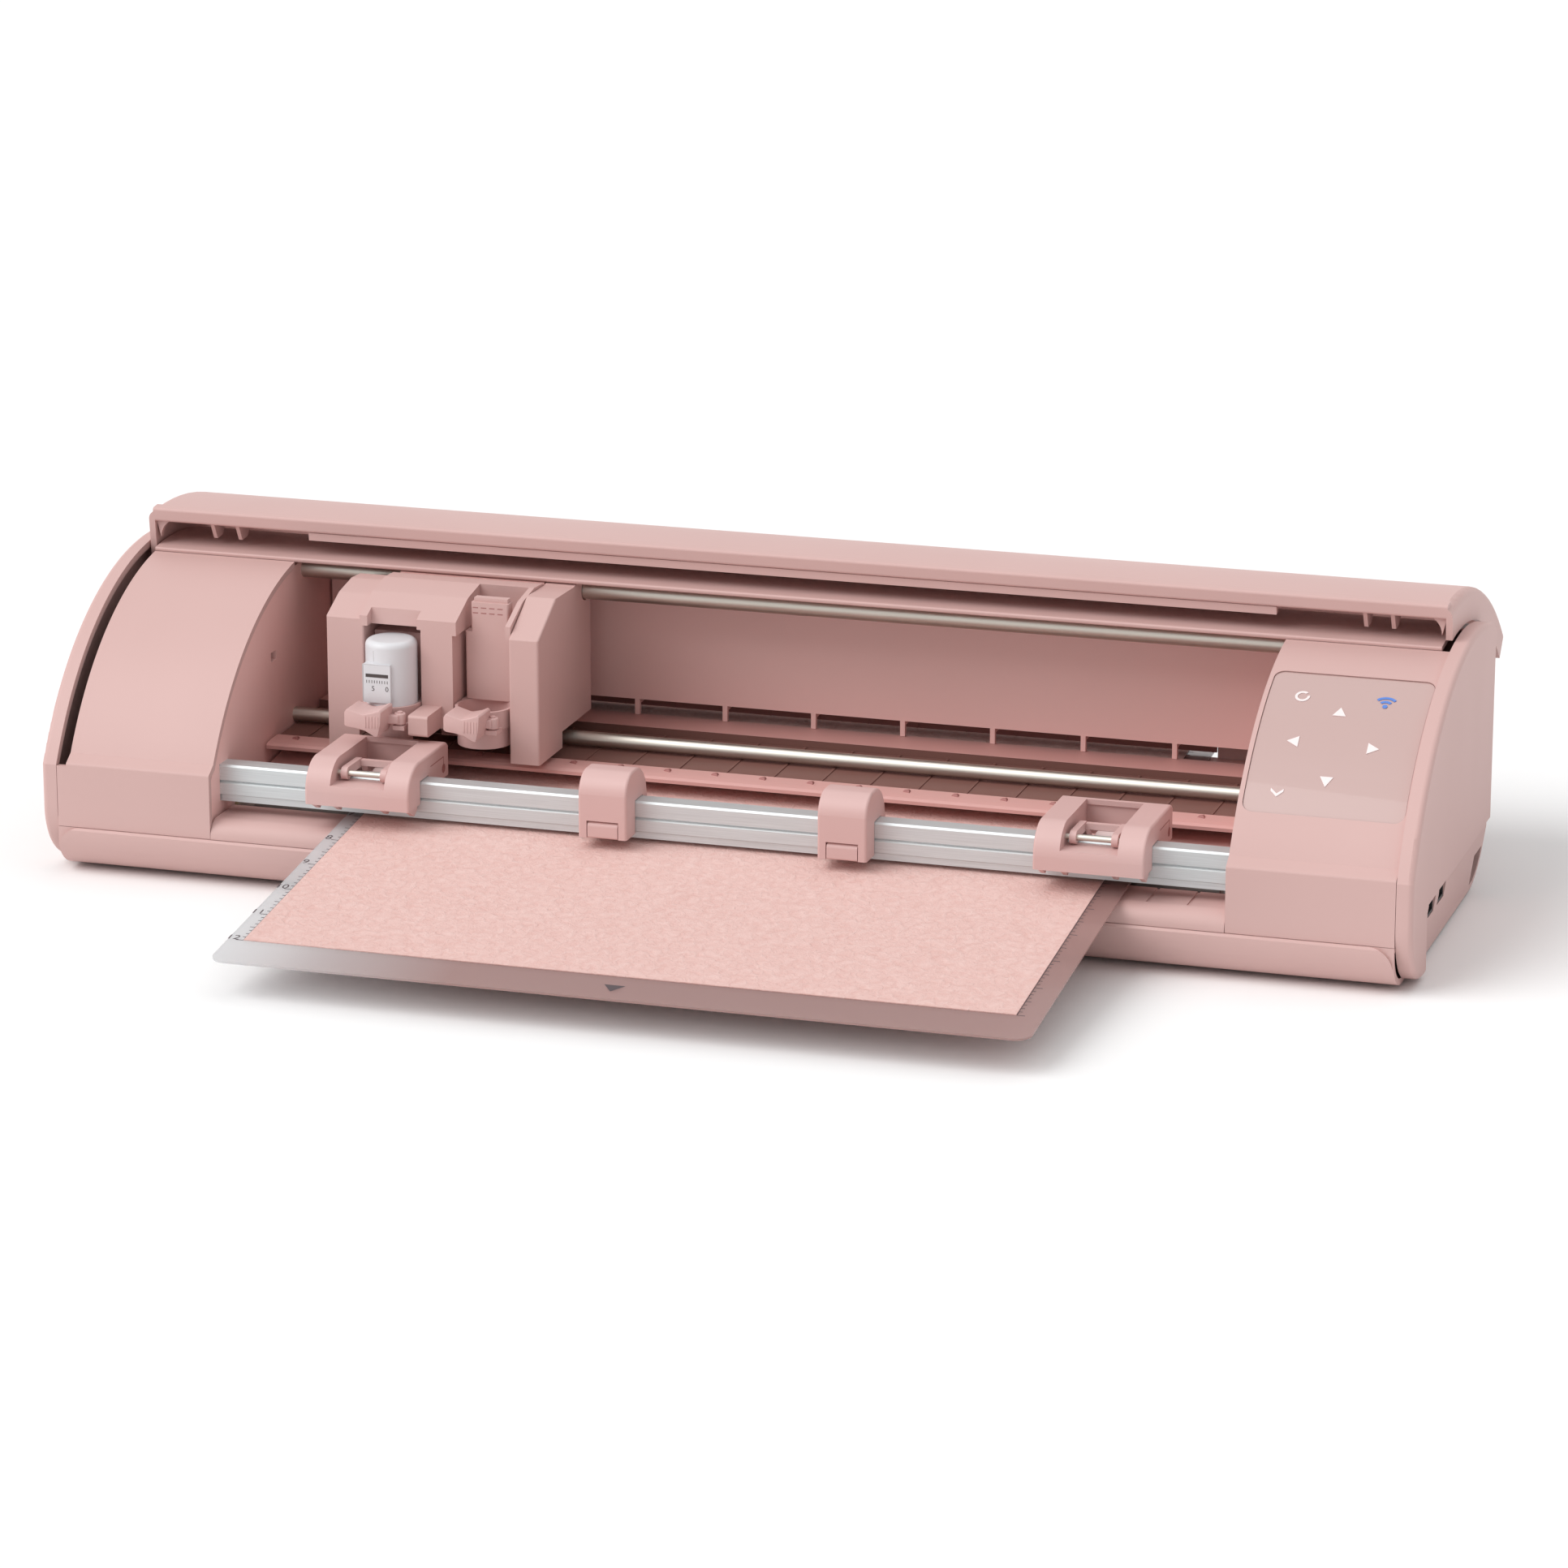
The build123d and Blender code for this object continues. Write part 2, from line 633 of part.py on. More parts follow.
def side_frame(name, sign):
    """Upright plate that carries the shafts, the rail, the rollers and a pulley shelf."""
    x0, x1 = sorted((sign * FRAME_IN, sign * FRAME_OUT))
    bottom = TRAY_TOP + 0.05
    front = BODY_FRONT + SHELL + SEAM
    rear = BODY_REAR - SHELL - SEAM
    low_front = -52.0
    under_ledge = LEDGE_Z + LEDGE_RISE - SHELL - 0.7
    first = degrees(asin((arc_depth(FRAME_R, under_ledge) - ARC_Y) / FRAME_R))
    last = degrees(asin((rear - ARC_Y) / FRAME_R))
    with BuildPart() as frame:
        with BuildSketch(side(sign * FRAME_IN)):
            with BuildLine():
                Polyline(
                    on_arc(FRAME_R, last), (rear, REAR_CORNER_R + 6), (rear - 12, bottom),
                    (low_front, bottom), (low_front - 20, BAR_TOP_Z + 0.5),
                    (front, BAR_TOP_Z + 0.5), (front, LEDGE_Z - 5),
                    on_arc(FRAME_R, first),
                )
                arc_between(FRAME_R, first, last)
            make_face()
        extrude(amount=sign * SHELL)
        rod_x(x0 - 1, x1 + 1, SHAFT_Y, SHAFT_Z, SHAFT_R, mode=Mode.SUBTRACT)
        rod_x(x0 - 1, x1 + 1, ROD_Y, ROD_Z, ROD_R, mode=Mode.SUBTRACT)
        rod_x(x0 - 1, x1 + 1, FEED_Y, GRIT_Z, JOURNAL_R + 2.5, mode=Mode.SUBTRACT)
        block(x0 - 1, x1 + 1, RAIL_FRONT, RAIL_FRONT + RAIL_DEPTH, RAIL_BOTTOM, RAIL_TOP,
              mode=Mode.SUBTRACT)
        belt_half = BELT_R + BELT_THICK + 1.5
        block(x0 - 1, x1 + 1, BELT_Y - belt_half, BELT_Y + belt_half, BELT_Z - 1,
              BELT_Z + BELT_WIDTH + 1, mode=Mode.SUBTRACT)
        # keyhole and square opening in the wall beside the parked carriage
        block(x0 - 1, x1 + 1, -9.0, -3.0, 75.0, 79.0, mode=Mode.SUBTRACT)
        shelf_out = sign * (PULLEY_X + 20)
        s0, s1 = sorted((sign * (FRAME_OUT - 0.01), shelf_out))
        block(s0, s1, *SHELF_Y, SHELF_Z, SHELF_Z + SHELF_THICK)
        if sign < 0:
            post_z(sign * PULLEY_X, BELT_Y, SHELF_Z + 1, BELT_Z + BELT_WIDTH + 1, 1.5)
        else:
            post_z(sign * PULLEY_X, BELT_Y, SHELF_Z - 1, SHELF_Z + 3, 3.2, mode=Mode.SUBTRACT)
    write(frame, name)


def front_table():
    """Table in front of the rollers, with a rounded front edge and a slot for the roller."""
    half = OPENING_HALF - SEAM
    top = TABLE_TOP_Z
    front = BODY_FRONT - 0.2
    foot = BAR_TOP_Z + SEAM
    slot = GRIT_R + 0.8
    with BuildPart() as table:
        with BuildSketch(side(-half)):
            with BuildLine():
                Polyline((front, foot), (front, top - TABLE_EDGE_R))
                ThreePointArc((front, top - TABLE_EDGE_R),
                              (front + TABLE_EDGE_R * (1 - sqrt(0.5)),
                               top - TABLE_EDGE_R * (1 - sqrt(0.5))),
                              (front + TABLE_EDGE_R, top))
                Polyline((front + TABLE_EDGE_R, top), (TABLE_REAR, top), (TABLE_REAR, top - 2.4),
                         (front + TABLE_EDGE_R, top - 2.4), (front + 2.4, top - TABLE_EDGE_R),
                         (front + 2.4, foot), (front, foot))
            make_face()
        extrude(amount=2 * half)
        block(-half - 1, half + 1, FEED_Y - slot, FEED_Y + slot, top - 6, top + 1,
              mode=Mode.SUBTRACT)
        for x in (-150.0, -50.0, 50.0, 150.0):
            block(x - 1, x + 1, front + 16, FEED_Y - slot, TRAY_TOP + 0.05, top - 2.3)
            block(x - 1, x + 1, FEED_Y - slot - 0.01, FEED_Y + slot + 0.01, TRAY_TOP + 0.05,
                  GRIT_Z - GRIT_R - 1)
            block(x - 1, x + 1, FEED_Y + slot, TABLE_REAR, TRAY_TOP + 0.05, top - 2.3)
        # shallow guide grooves for narrow media at the right
        for x in (176.0, 192.0):
            block(x - 0.6, x + 0.6, front + TABLE_EDGE_R, FEED_Y - slot + 1, top - 0.5, top + 1,
                  mode=Mode.SUBTRACT)
    write(table, "front_table")


def lower_platen():
    """Sloping plate under the mat, from behind the table to the back cover."""
    half = OPENING_HALF - SEAM
    y0 = TABLE_REAR + SEAM
    y1 = BODY_REAR - SHELL - SEAM
    strip_y = TOOL_1_Y
    with BuildPart() as platen:
        profile(-half, half, [
            (y0, mat_under(y0) - PLATEN_GAP), (y1, mat_under(y1) - PLATEN_GAP),
            (y1, mat_under(y1) - PLATEN_GAP - PLATEN_THICK),
            (y0, mat_under(y0) - PLATEN_GAP - PLATEN_THICK),
        ])
        for x in (-165.0, -55.0, 55.0, 165.0):
            profile(x - 1, x + 1, [
                (y0 + 1, TRAY_TOP + 0.05), (y1 - 16, TRAY_TOP + 0.05),
                (y1 - 2, TRAY_TOP + 20), (y1 - 2, mat_under(y1 - 2) - PLATEN_GAP - 1),
                (y0 + 1, mat_under(y0 + 1) - PLATEN_GAP - 1),
            ])
        drop = mat_under(strip_y) - PLATEN_GAP
        profile(-half - 1, half + 1, [
            (strip_y - 4, drop - 1.0), (strip_y - 4, drop + 3),
            (strip_y + 4, drop + 3), (strip_y + 4, drop - 1.0),
        ], mode=Mode.SUBTRACT)
    write(platen, "lower_platen")
    with BuildPart() as strip:
        profile(-half, half, [
            (strip_y - 3.9, drop - 1.0), (strip_y - 3.9, drop - 0.5),
            (strip_y + 3.9, drop + 0.1), (strip_y + 3.9, drop - 1.0),
        ])
    write(strip, "cutting_strip")


def upper_guide():
    """Guide over the mat: marked front strip, ribbed tray under the rod, rear band."""
    half = OPENING_HALF - SEAM
    with BuildPart() as guide:
        profile(-half, half, [
            (STRIP_FRONT, STRIP_TOP - 2.6), (STRIP_FRONT, STRIP_TOP - 1.2),
            (STRIP_FRONT + 1.5, STRIP_TOP - 0.4), (STRIP_FRONT + 5, STRIP_TOP),
            (STRIP_REAR, STRIP_TOP), (STRIP_REAR, GUIDE_Z), (BAND_Y, GUIDE_Z),
            (BAND_Y, BAND_Z), (WALL_Y + 2, BAND_Z), (WALL_Y + 2, card_over(WALL_Y + 2)),
            (BAND_Y, card_over(BAND_Y)), (STRIP_REAR, STRIP_TOP - 3.0),
            (STRIP_FRONT + 4, STRIP_TOP - 2.6),
        ])
        x = -half + 12
        while x < half - 6:
            block(x - 0.6, x + 0.6, STRIP_REAR - 0.1, BAND_Y + 0.1, GUIDE_Z - 0.1, GUIDE_Z + 0.35)
            x += GUIDE_RIB_PITCH
    write(guide, "upper_guide")


def rear_inner_wall():
    """Plain wall behind the carriage, with ribs in the gap under it."""
    half = OPENING_HALF - SEAM
    top = arc_height(COVER_R - COVER_WALL, WALL_Y + 2) - SEAM
    with BuildPart() as wall:
        block(-half, half, WALL_Y, WALL_Y + 2, WALL_BOTTOM, top)
        x = -half + 20
        while x < half:
            block(x - 1, x + 1, WALL_Y + 0.2, BODY_REAR - SHELL - SEAM, WALL_BOTTOM - 2, top - 4)
            block(x - 1, x + 1, WALL_Y, WALL_Y + 2, BAND_Z + SEAM, WALL_BOTTOM + 1)
            x += 38.0
    write(wall, "rear_inner_wall")


def front_rail():
    """Drawn metal rail with a groove along its face, resting in the frames' notches."""
    reach = FRAME_OUT - 0.1
    y0 = RAIL_FRONT
    y1 = RAIL_FRONT + RAIL_DEPTH
    middle = (RAIL_BOTTOM + RAIL_TOP) / 2 + 0.6
    with BuildPart() as rail:
        profile(-reach, reach, [
            (y0 + 0.8, RAIL_BOTTOM), (y0 + 0.8, RAIL_BOTTOM + 2.6), (y0, RAIL_BOTTOM + 3.0),
            (y0, middle - 0.7), (y0 + 0.9, middle), (y0, middle + 0.7), (y0, RAIL_TOP - 0.8),
            (y0 + 0.8, RAIL_TOP), (y1 - 0.4, RAIL_TOP), (y1, RAIL_TOP - 0.4),
            (y1, RAIL_BOTTOM),
        ])
    write(rail, "front_rail")


def straight_shafts():
    """Upper guide shaft and lower guide rod."""
    for name, y, z, radius in (("guide_shaft", SHAFT_Y, SHAFT_Z, SHAFT_R),
                               ("lower_guide_rod", ROD_Y, ROD_Z, ROD_R)):
        with BuildPart() as shaft:
            rod_x(-FRAME_OUT - 3, FRAME_OUT + 3, y, z, radius)
            chamfer(shaft.edges().filter_by(GeomType.CIRCLE), 0.5)
        write(shaft, name)


def drive_belt():
    """Toothed belt drawn as a plain loop around its two pulleys."""
    outer = BELT_R + BELT_THICK
    with BuildPart() as belt:
        with BuildSketch(level(BELT_Z)):
            with Locations((0, BELT_Y)):
                SlotCenterToCenter(2 * PULLEY_X, 2 * outer)
                SlotCenterToCenter(2 * PULLEY_X, 2 * BELT_R, mode=Mode.SUBTRACT)
        extrude(amount=BELT_WIDTH)
    write(belt, "drive_belt")


X_MOTOR_R = 17.5
X_MOTOR_LENGTH = 34.0


def x_motor():
    """Carriage motor, hung under the right frame's shelf."""
    with BuildPart() as motor:
        post_z(PULLEY_X, BELT_Y, SHELF_Z - X_MOTOR_LENGTH, SHELF_Z, X_MOTOR_R)
        fillet(motor.edges().filter_by(GeomType.CIRCLE), 1.5)
        post_z(PULLEY_X, BELT_Y, SHELF_Z - 8, SHELF_Z + 1, 1.5 + RUN_FIT, mode=Mode.SUBTRACT)
    write(motor, "carriage_motor")


PINION_GAP = 0.12
CENTRE_DISTANCE = FEED_MODULE * (FEED_TEETH + PINION_TEETH) / 2 + PINION_GAP
MOTOR_Y = FEED_Y + CENTRE_DISTANCE * cos(radians(PINION_DEG))
MOTOR_Z = GRIT_Z + CENTRE_DISTANCE * sin(radians(PINION_DEG))
FEED_MOTOR_R = 15.0
FEED_MOTOR_IN = GEAR_X - GEAR_WIDTH - 3.5
FEED_MOTOR_LENGTH = 32.0


def feed_motor():
    """Feed motor with a mounting plate and two posts to the left frame."""
    plate = FEED_MOTOR_IN - 2
    with BuildPart() as motor:
        rod_x(plate - FEED_MOTOR_LENGTH, plate, MOTOR_Y, MOTOR_Z, FEED_MOTOR_R)
        fillet(motor.edges().filter_by(GeomType.CIRCLE).sort_by(Axis.X)[0], 1.5)
        block(plate - 0.01, FEED_MOTOR_IN, MOTOR_Y - 15, MOTOR_Y + 18, MOTOR_Z - 15, MOTOR_Z + 15)
        for dy, dz in ((14, -11), (14, 11)):
            rod_x(FEED_MOTOR_IN - 0.01, -FRAME_OUT - 0.02, MOTOR_Y + dy, MOTOR_Z + dz, 2.5)
        rod_x(plate - 6, FEED_MOTOR_IN + 1, MOTOR_Y, MOTOR_Z, 1.5 + RUN_FIT, mode=Mode.SUBTRACT)
    write(motor, "feed_motor")


def main_board():
    """Control board on the tray's bosses, with a few packages on it."""
    top = BOARD_Z + BOARD_THICK
    with BuildPart() as board:
        block(*BOARD_X, *BOARD_Y, BOARD_Z, top)
        for x, y, w, d, h in ((228, -8, 14, 14, 2), (246, 14, 10, 8, 3), (226, -40, 8, 12, 6),
                              (240, -36, 6, 6, 9)):
            block(x - w / 2, x + w / 2, y - d / 2, y + d / 2, top - 0.01, top + h)
    write(board, "main_board")


SOCKET_IN = 258.0


def side_sockets():
    """Data and power sockets, from the board to the right end cap."""
    top = BOARD_Z + BOARD_THICK + 0.02
    half = PORT_WIDTH / 2
    for name, y in (("usb_socket", PORT_Y["usb"]), ("power_socket", PORT_Y["power"])):
        with BuildPart() as socket:
            block(SOCKET_IN, HALF - RECESS_DEPTH - 1.0, y - half, y + half, PORT_Z0, PORT_Z1)
            block(SOCKET_IN, BOARD_X[1], y - half, y + half, top, PORT_Z0 + 0.01)
            block(HALF - 9, HALF, y - half + 1, y + half - 1, PORT_Z0 + 1, PORT_Z1 - 1,
                  mode=Mode.SUBTRACT)
            if name == "usb_socket":
                block(HALF - 9.01, HALF - 4, y - 3, y + 3, PORT_Z0 + 2.6, PORT_Z1 - 2.6)
            else:
                rod_x(HALF - 9.01, HALF - 4, y, (PORT_Z0 + PORT_Z1) / 2, 1.2)
        write(socket, name)


# ---------------------------------------------------------------- lid
def lid():
    """Curved lid that rolls forward about the arc's axis, with end walls in the slots."""
    lip_last = LID_FRONT_DEG + LID_LIP_DEG
    hem = 1.1
    with BuildPart() as shell:
        with BuildSketch(side(-LID_HALF)):
            band(LID_IN_R, LID_R, LID_FRONT_DEG, LID_REAR_DEG)
            band(LID_HEM_R, LID_R - 1, LID_REAR_DEG - hem, LID_REAR_DEG)
        extrude(amount=2 * LID_HALF)
        for sign in (-1, 1):
            with BuildSketch(side(sign * LID_HALF)):
                inner = LID_END_IN_R if sign < 0 else PANEL_R + LID_END_CLEAR
                band(inner, LID_R - 1, LID_FRONT_DEG, LID_REAR_DEG)
            extrude(amount=-sign * LID_END_WALL)
        fillet(shell.edges().filter_by(GeomType.CIRCLE).filter_by(
            lambda e: abs(e.radius - LID_R) < 0.01), 3.6)
        with BuildSketch(side(-LID_HALF + 2)):
            band(LID_IN_R - LID_LIP_IN, LID_R + LID_LIP_OUT, LID_FRONT_DEG, lip_last)
            corners = [v for v in vertices() if abs(v.Y) > 0]
            fillet(corners, 1.2)
        extrude(amount=2 * LID_HALF - 4)
        for x in (-246.0, -235.0, 238.0, 249.0):
            with BuildSketch(side(x - 0.8)):
                with BuildLine():
                    Polyline(on_arc(LID_IN_R + 0.5, LID_FRONT_DEG + 0.5),
                             on_arc(LID_HEM_R, LID_FRONT_DEG + 2.2),
                             on_arc(LID_HEM_R, LID_FRONT_DEG + 4.6),
                             on_arc(LID_IN_R + 0.5, LID_FRONT_DEG + 8.5), close=True)
                make_face()
            extrude(amount=1.6)
    write(shell, "lid_shell")
    with BuildPart() as rib:
        with BuildSketch(side(-LID_RIB_HALF)):
            band(LID_RIB_IN_R, LID_IN_R - LID_LIP_IN - SEAM, LID_FRONT_DEG + 0.4,
                 LID_FRONT_DEG + 1.5)
            band(LID_IN_R - LID_LIP_IN - 2, LID_IN_R - SEAM, lip_last + 0.1, lip_last + 6)
            band(LID_IN_R - LID_LIP_IN - 2, LID_IN_R - LID_LIP_IN - SEAM, LID_FRONT_DEG + 0.4,
                 lip_last + 0.3)
        extrude(amount=2 * LID_RIB_HALF)
    write(rib, "lid_inner_rib")


# ---------------------------------------------------------------- carriage
BLOCK_LEFT = CARRIAGE_RIGHT - BLOCK_WIDTH
HOUSING_RIGHT = BLOCK_LEFT - SEAM
HOUSING_BACK = 3.8
BAY_HALF = COLLAR_R + 0.3
HOLDER_HALF = BAY_HALF - 0.5
BAY_1 = (TOOL_1_X - BAY_HALF, TOOL_1_X + BAY_HALF)
BAY_2 = (TOOL_2_X - BAY_HALF, TOOL_2_X + BAY_HALF)
BAY_DEPTH = -5.0
UNDER_COVER_R = COVER_R - COVER_WALL - 0.5


def carriage_top(inset):
    """Upper side outline shared by the carriage's covers, lowered by an inset."""
    return [
        (CARRIAGE_FRONT, 102.6 - inset), (-10.0, 109.2 - inset), (4.0, 111.6 - inset),
        (14.0, 111.0 - inset), (16.0, 110.0 - inset),
    ]


def carriage_frame():
    """Main block of the carriage: shaft boss above, rod slider below, belt clamp behind."""
    x0 = CARRIAGE_LEFT + 16
    x1 = BLOCK_LEFT - 0.8
    boss_low = SHAFT_Z - 9
    with BuildPart() as frame:
        block(x0, x1, HOUSING_BACK + SEAM, CARRIAGE_BACK, 56.0, boss_low)
        with BuildSketch(side(x0)):
            with BuildLine():
                top_y = CARRIAGE_BACK
                Polyline((18.0, arc_height(UNDER_COVER_R, 18.0)), (18.0, boss_low - 0.01),
                         (top_y, boss_low - 0.01), (top_y, arc_height(UNDER_COVER_R, top_y)))
                first = degrees(asin((18.0 - ARC_Y) / UNDER_COVER_R))
                last = degrees(asin((top_y - ARC_Y) / UNDER_COVER_R))
                arc_between(UNDER_COVER_R, first, last)
            make_face()
        extrude(amount=x1 - x0)
        middle = (x0 + x1) / 2
        block(middle - 11, middle + 11, ROD_Y - 7, ROD_Y + 7, ROD_Z - 1.6, 56.01)
        rod_x(x0 - 1, x1 + 1, ROD_Y, ROD_Z, ROD_R + 0.06, mode=Mode.SUBTRACT)
        block(middle - 12, middle + 12, ROD_Y - ROD_R - 0.06, ROD_Y + ROD_R + 0.06,
              ROD_Z - 4, ROD_Z, mode=Mode.SUBTRACT)
        rod_x(x0 - 1, x1 + 1, SHAFT_Y, SHAFT_Z, SHAFT_R + BUSH_WALL, mode=Mode.SUBTRACT)
        # weight pocket from below, open at the bottom
        block(x0 + 4, middle - 14, HOUSING_BACK + 4, CARRIAGE_BACK - 4, 55.0, 90.0,
              mode=Mode.SUBTRACT)
        block(middle + 14, x1 - 4, HOUSING_BACK + 4, CARRIAGE_BACK - 4, 55.0, 90.0,
              mode=Mode.SUBTRACT)
        clamp_y = BELT_Y - BELT_R
        block(middle - 8, middle + 8, CARRIAGE_BACK - 0.01, clamp_y + 2.4, BELT_Z - 4,
              BELT_Z + BELT_WIDTH - 0.5)
        block(middle - 9, middle + 9, clamp_y - BELT_THICK - 0.3, clamp_y + 0.3,
              BELT_Z - 0.3, BELT_Z + BELT_WIDTH + 2, mode=Mode.SUBTRACT)
    write(frame, "carriage_frame")
    with BuildPart() as bushes:
        for start in (x0, x1 - 10):
            rod_x(start, start + 10, SHAFT_Y, SHAFT_Z, SHAFT_R + BUSH_WALL)
            rod_x(start - 1, start + 11, SHAFT_Y, SHAFT_Z, SHAFT_R + RUN_FIT, mode=Mode.SUBTRACT)
    write(bushes, "carriage_bushes")


def carriage_housing():
    """Front cover of the carriage: left column, hood, centre column and sensor box."""
    column_right = CARRIAGE_LEFT + 15.0
    top = carriage_top(0)
    column = carriage_top(1.6)
    rear_top = top[-1][1]
    with BuildPart() as housing:
        profile(CARRIAGE_LEFT, column_right,
                [(CARRIAGE_FRONT, CARRIAGE_BOTTOM), *column, (16.0, 101.0),
                 (HOUSING_BACK, 99.0), (HOUSING_BACK, CARRIAGE_BOTTOM)])
        profile(column_right - 0.5, HOUSING_RIGHT,
                [(CARRIAGE_FRONT, CARRIAGE_BOTTOM), *top, (17.0, rear_top - 1), (17.0, 101.0),
                 (HOUSING_BACK, 99.0), (HOUSING_BACK, CARRIAGE_BOTTOM)])
        block(BAY_1[0], BAY_1[1], CARRIAGE_FRONT - 1, BAY_DEPTH, CARRIAGE_BOTTOM - 1, 98.4,
              mode=Mode.SUBTRACT)
        # sloped notch over the first bay
        profile(BAY_1[0] + 1.6, BAY_1[1] - 1.6,
                [(CARRIAGE_FRONT - 1, 98.0), (CARRIAGE_FRONT - 1, 106.4), (-19.5, 106.4),
                 (-20.5, 98.0)], mode=Mode.SUBTRACT)
        # second bay runs out through the top
        block(BAY_2[0], BAY_2[1], CARRIAGE_FRONT - 1, BAY_DEPTH, CARRIAGE_BOTTOM - 1, 97.0,
              mode=Mode.SUBTRACT)
        block(BAY_2[0] + 1.6, BAY_2[1] - 1.8, CARRIAGE_FRONT - 1, BAY_DEPTH + 9, 96.9, 120.0,
              mode=Mode.SUBTRACT)
        # the columns and the back are hollow from behind
        block(CARRIAGE_LEFT + 2, BAY_1[0] - 1.6, CARRIAGE_FRONT + 2, HOUSING_BACK + 1,
              CARRIAGE_BOTTOM - 1, 96.0, mode=Mode.SUBTRACT)
        block(BAY_1[1] + 1.6, BAY_2[0] - 1.6, CARRIAGE_FRONT + 2, HOUSING_BACK + 1,
              CARRIAGE_BOTTOM - 1, 96.0, mode=Mode.SUBTRACT)
        block(CARRIAGE_LEFT - 1, HOUSING_RIGHT + 1, CARRIAGE_FRONT - 1, HOUSING_BACK + 1,
              CARRIAGE_BOTTOM - 1, 57.9, mode=Mode.SUBTRACT)
        block(CARRIAGE_LEFT, CARRIAGE_LEFT + 13.5, CARRIAGE_FRONT, CARRIAGE_FRONT + 2,
              CARRIAGE_BOTTOM, 58.0)
        outer = housing.edges().filter_by(Axis.Z).sort_by(Axis.X)
        fillet([e for e in outer if e.length > 30 and abs(e.center().Y - BODY_Y -
                CARRIAGE_FRONT) < 0.1][:2], 0.9)
        box_x = (BAY_1[1] + 0.4, BAY_2[0] - 4.9)
        with Locations(((box_x[0] + box_x[1]) / 2, BODY_Y + CARRIAGE_FRONT - 8.4, 63.0)):
            Box(box_x[1] - box_x[0], 17.0, 8.6)
        fillet(housing.edges().filter_by(Axis.X).sort_by(Axis.Y)[:2], 1.2)
    write(housing, "carriage_housing")


def carriage_side_block():
    """Tall block at the carriage's right end, around the shaft."""
    x0 = BLOCK_LEFT
    x1 = CARRIAGE_RIGHT
    back_top = arc_height(UNDER_COVER_R, 36.0)
    first = degrees(asin((18.0 - ARC_Y) / UNDER_COVER_R))
    last = degrees(asin((36.0 - ARC_Y) / UNDER_COVER_R))
    with BuildPart() as part:
        with BuildSketch(side(x0)):
            with BuildLine():
                Polyline(
                    on_arc(UNDER_COVER_R, first), (16.0, 110.0), (-6.0, 110.6),
                    (BLOCK_FRONT, 98.4), (BLOCK_FRONT, CARRIAGE_BOTTOM), (0.0, CARRIAGE_BOTTOM),
                    (0.0, 53.6), (36.0, 53.6), (36.0, back_top),
                )
                arc_between(UNDER_COVER_R, first, last)
            make_face()
        extrude(amount=x1 - x0)
        rod_x(x0 - 1, x1 + 1, SHAFT_Y, SHAFT_Z, SHAFT_R + 0.6, mode=Mode.SUBTRACT)
        block(x0 - 1, x1 - 2, BLOCK_FRONT + 2, -2.0, 60.0, 92.0, mode=Mode.SUBTRACT)
        block(x0 - 1, x1 - 2, 2.0, 34.0, 56.0, 96.0, mode=Mode.SUBTRACT)
        front = part.edges().filter_by(Axis.Z).sort_by(Axis.Y)[:2]
        fillet(front, 1.0)
        rim = part.faces().sort_by(Axis.X)[-1].edges().filter_by(
            lambda e: e.center().Y < BODY_Y - 4 and e.center().Z > 90)
        fillet(rim, 0.8)
    write(part, "carriage_side_block")


def tool_collar(x, y, low, high):
    """Ring that clamps a tool, inside a BuildPart."""
    post_z(x, y, low, high, COLLAR_R)
    post_z(x, y, low + 2.4, high + 1, TOOL_R + 0.1, mode=Mode.SUBTRACT)


COLLAR_TOP = COLLAR_BOTTOM + COLLAR_HEIGHT
LEVER_PIN_R = 1.1
LEVER_1_REACH = 25.0
LEVER_2_REACH = 23.2


STEM_R = 5.0
# lower end and radius of the sleeve under each collar
SKIRT = {"tool_1_holder": (50.0, 8.0), "tool_2_holder": (53.0, 11.0)}


def lever_pin(x, y):
    """Place of a lock lever's upright pin, at the front right of its collar."""
    return (x + 8.6, y - COLLAR_R - 2.2)


def tool_holder(name, x, y, back):
    """Sliding holder: back plate in its bay, collar, and an ear for the lever's pin."""
    half = HOLDER_HALF
    px, py = lever_pin(x, y)
    with BuildPart() as holder:
        block(x - half, x + half, y + 5, back - 0.3, COLLAR_BOTTOM, COLLAR_TOP)
        block(x - half, x + half, y + COLLAR_R + 0.2, back - 0.3, COLLAR_BOTTOM, 94.0)
        tool_collar(x, y, COLLAR_BOTTOM, COLLAR_TOP)
        skirt_low, skirt_r = SKIRT[name]
        post_z(x, y, skirt_low, COLLAR_BOTTOM + 0.01, skirt_r)
        post_z(x, y, skirt_low - 1, COLLAR_TOP, STEM_R + 0.1, mode=Mode.SUBTRACT)
        block(px - 2.4, px + 2.4, py - 2.4, y - COLLAR_R + 2.0, COLLAR_BOTTOM,
              COLLAR_BOTTOM + 1.8)
        post_z(px, py, COLLAR_BOTTOM + 1.7, COLLAR_TOP - 0.2, LEVER_PIN_R)
    write(holder, name)


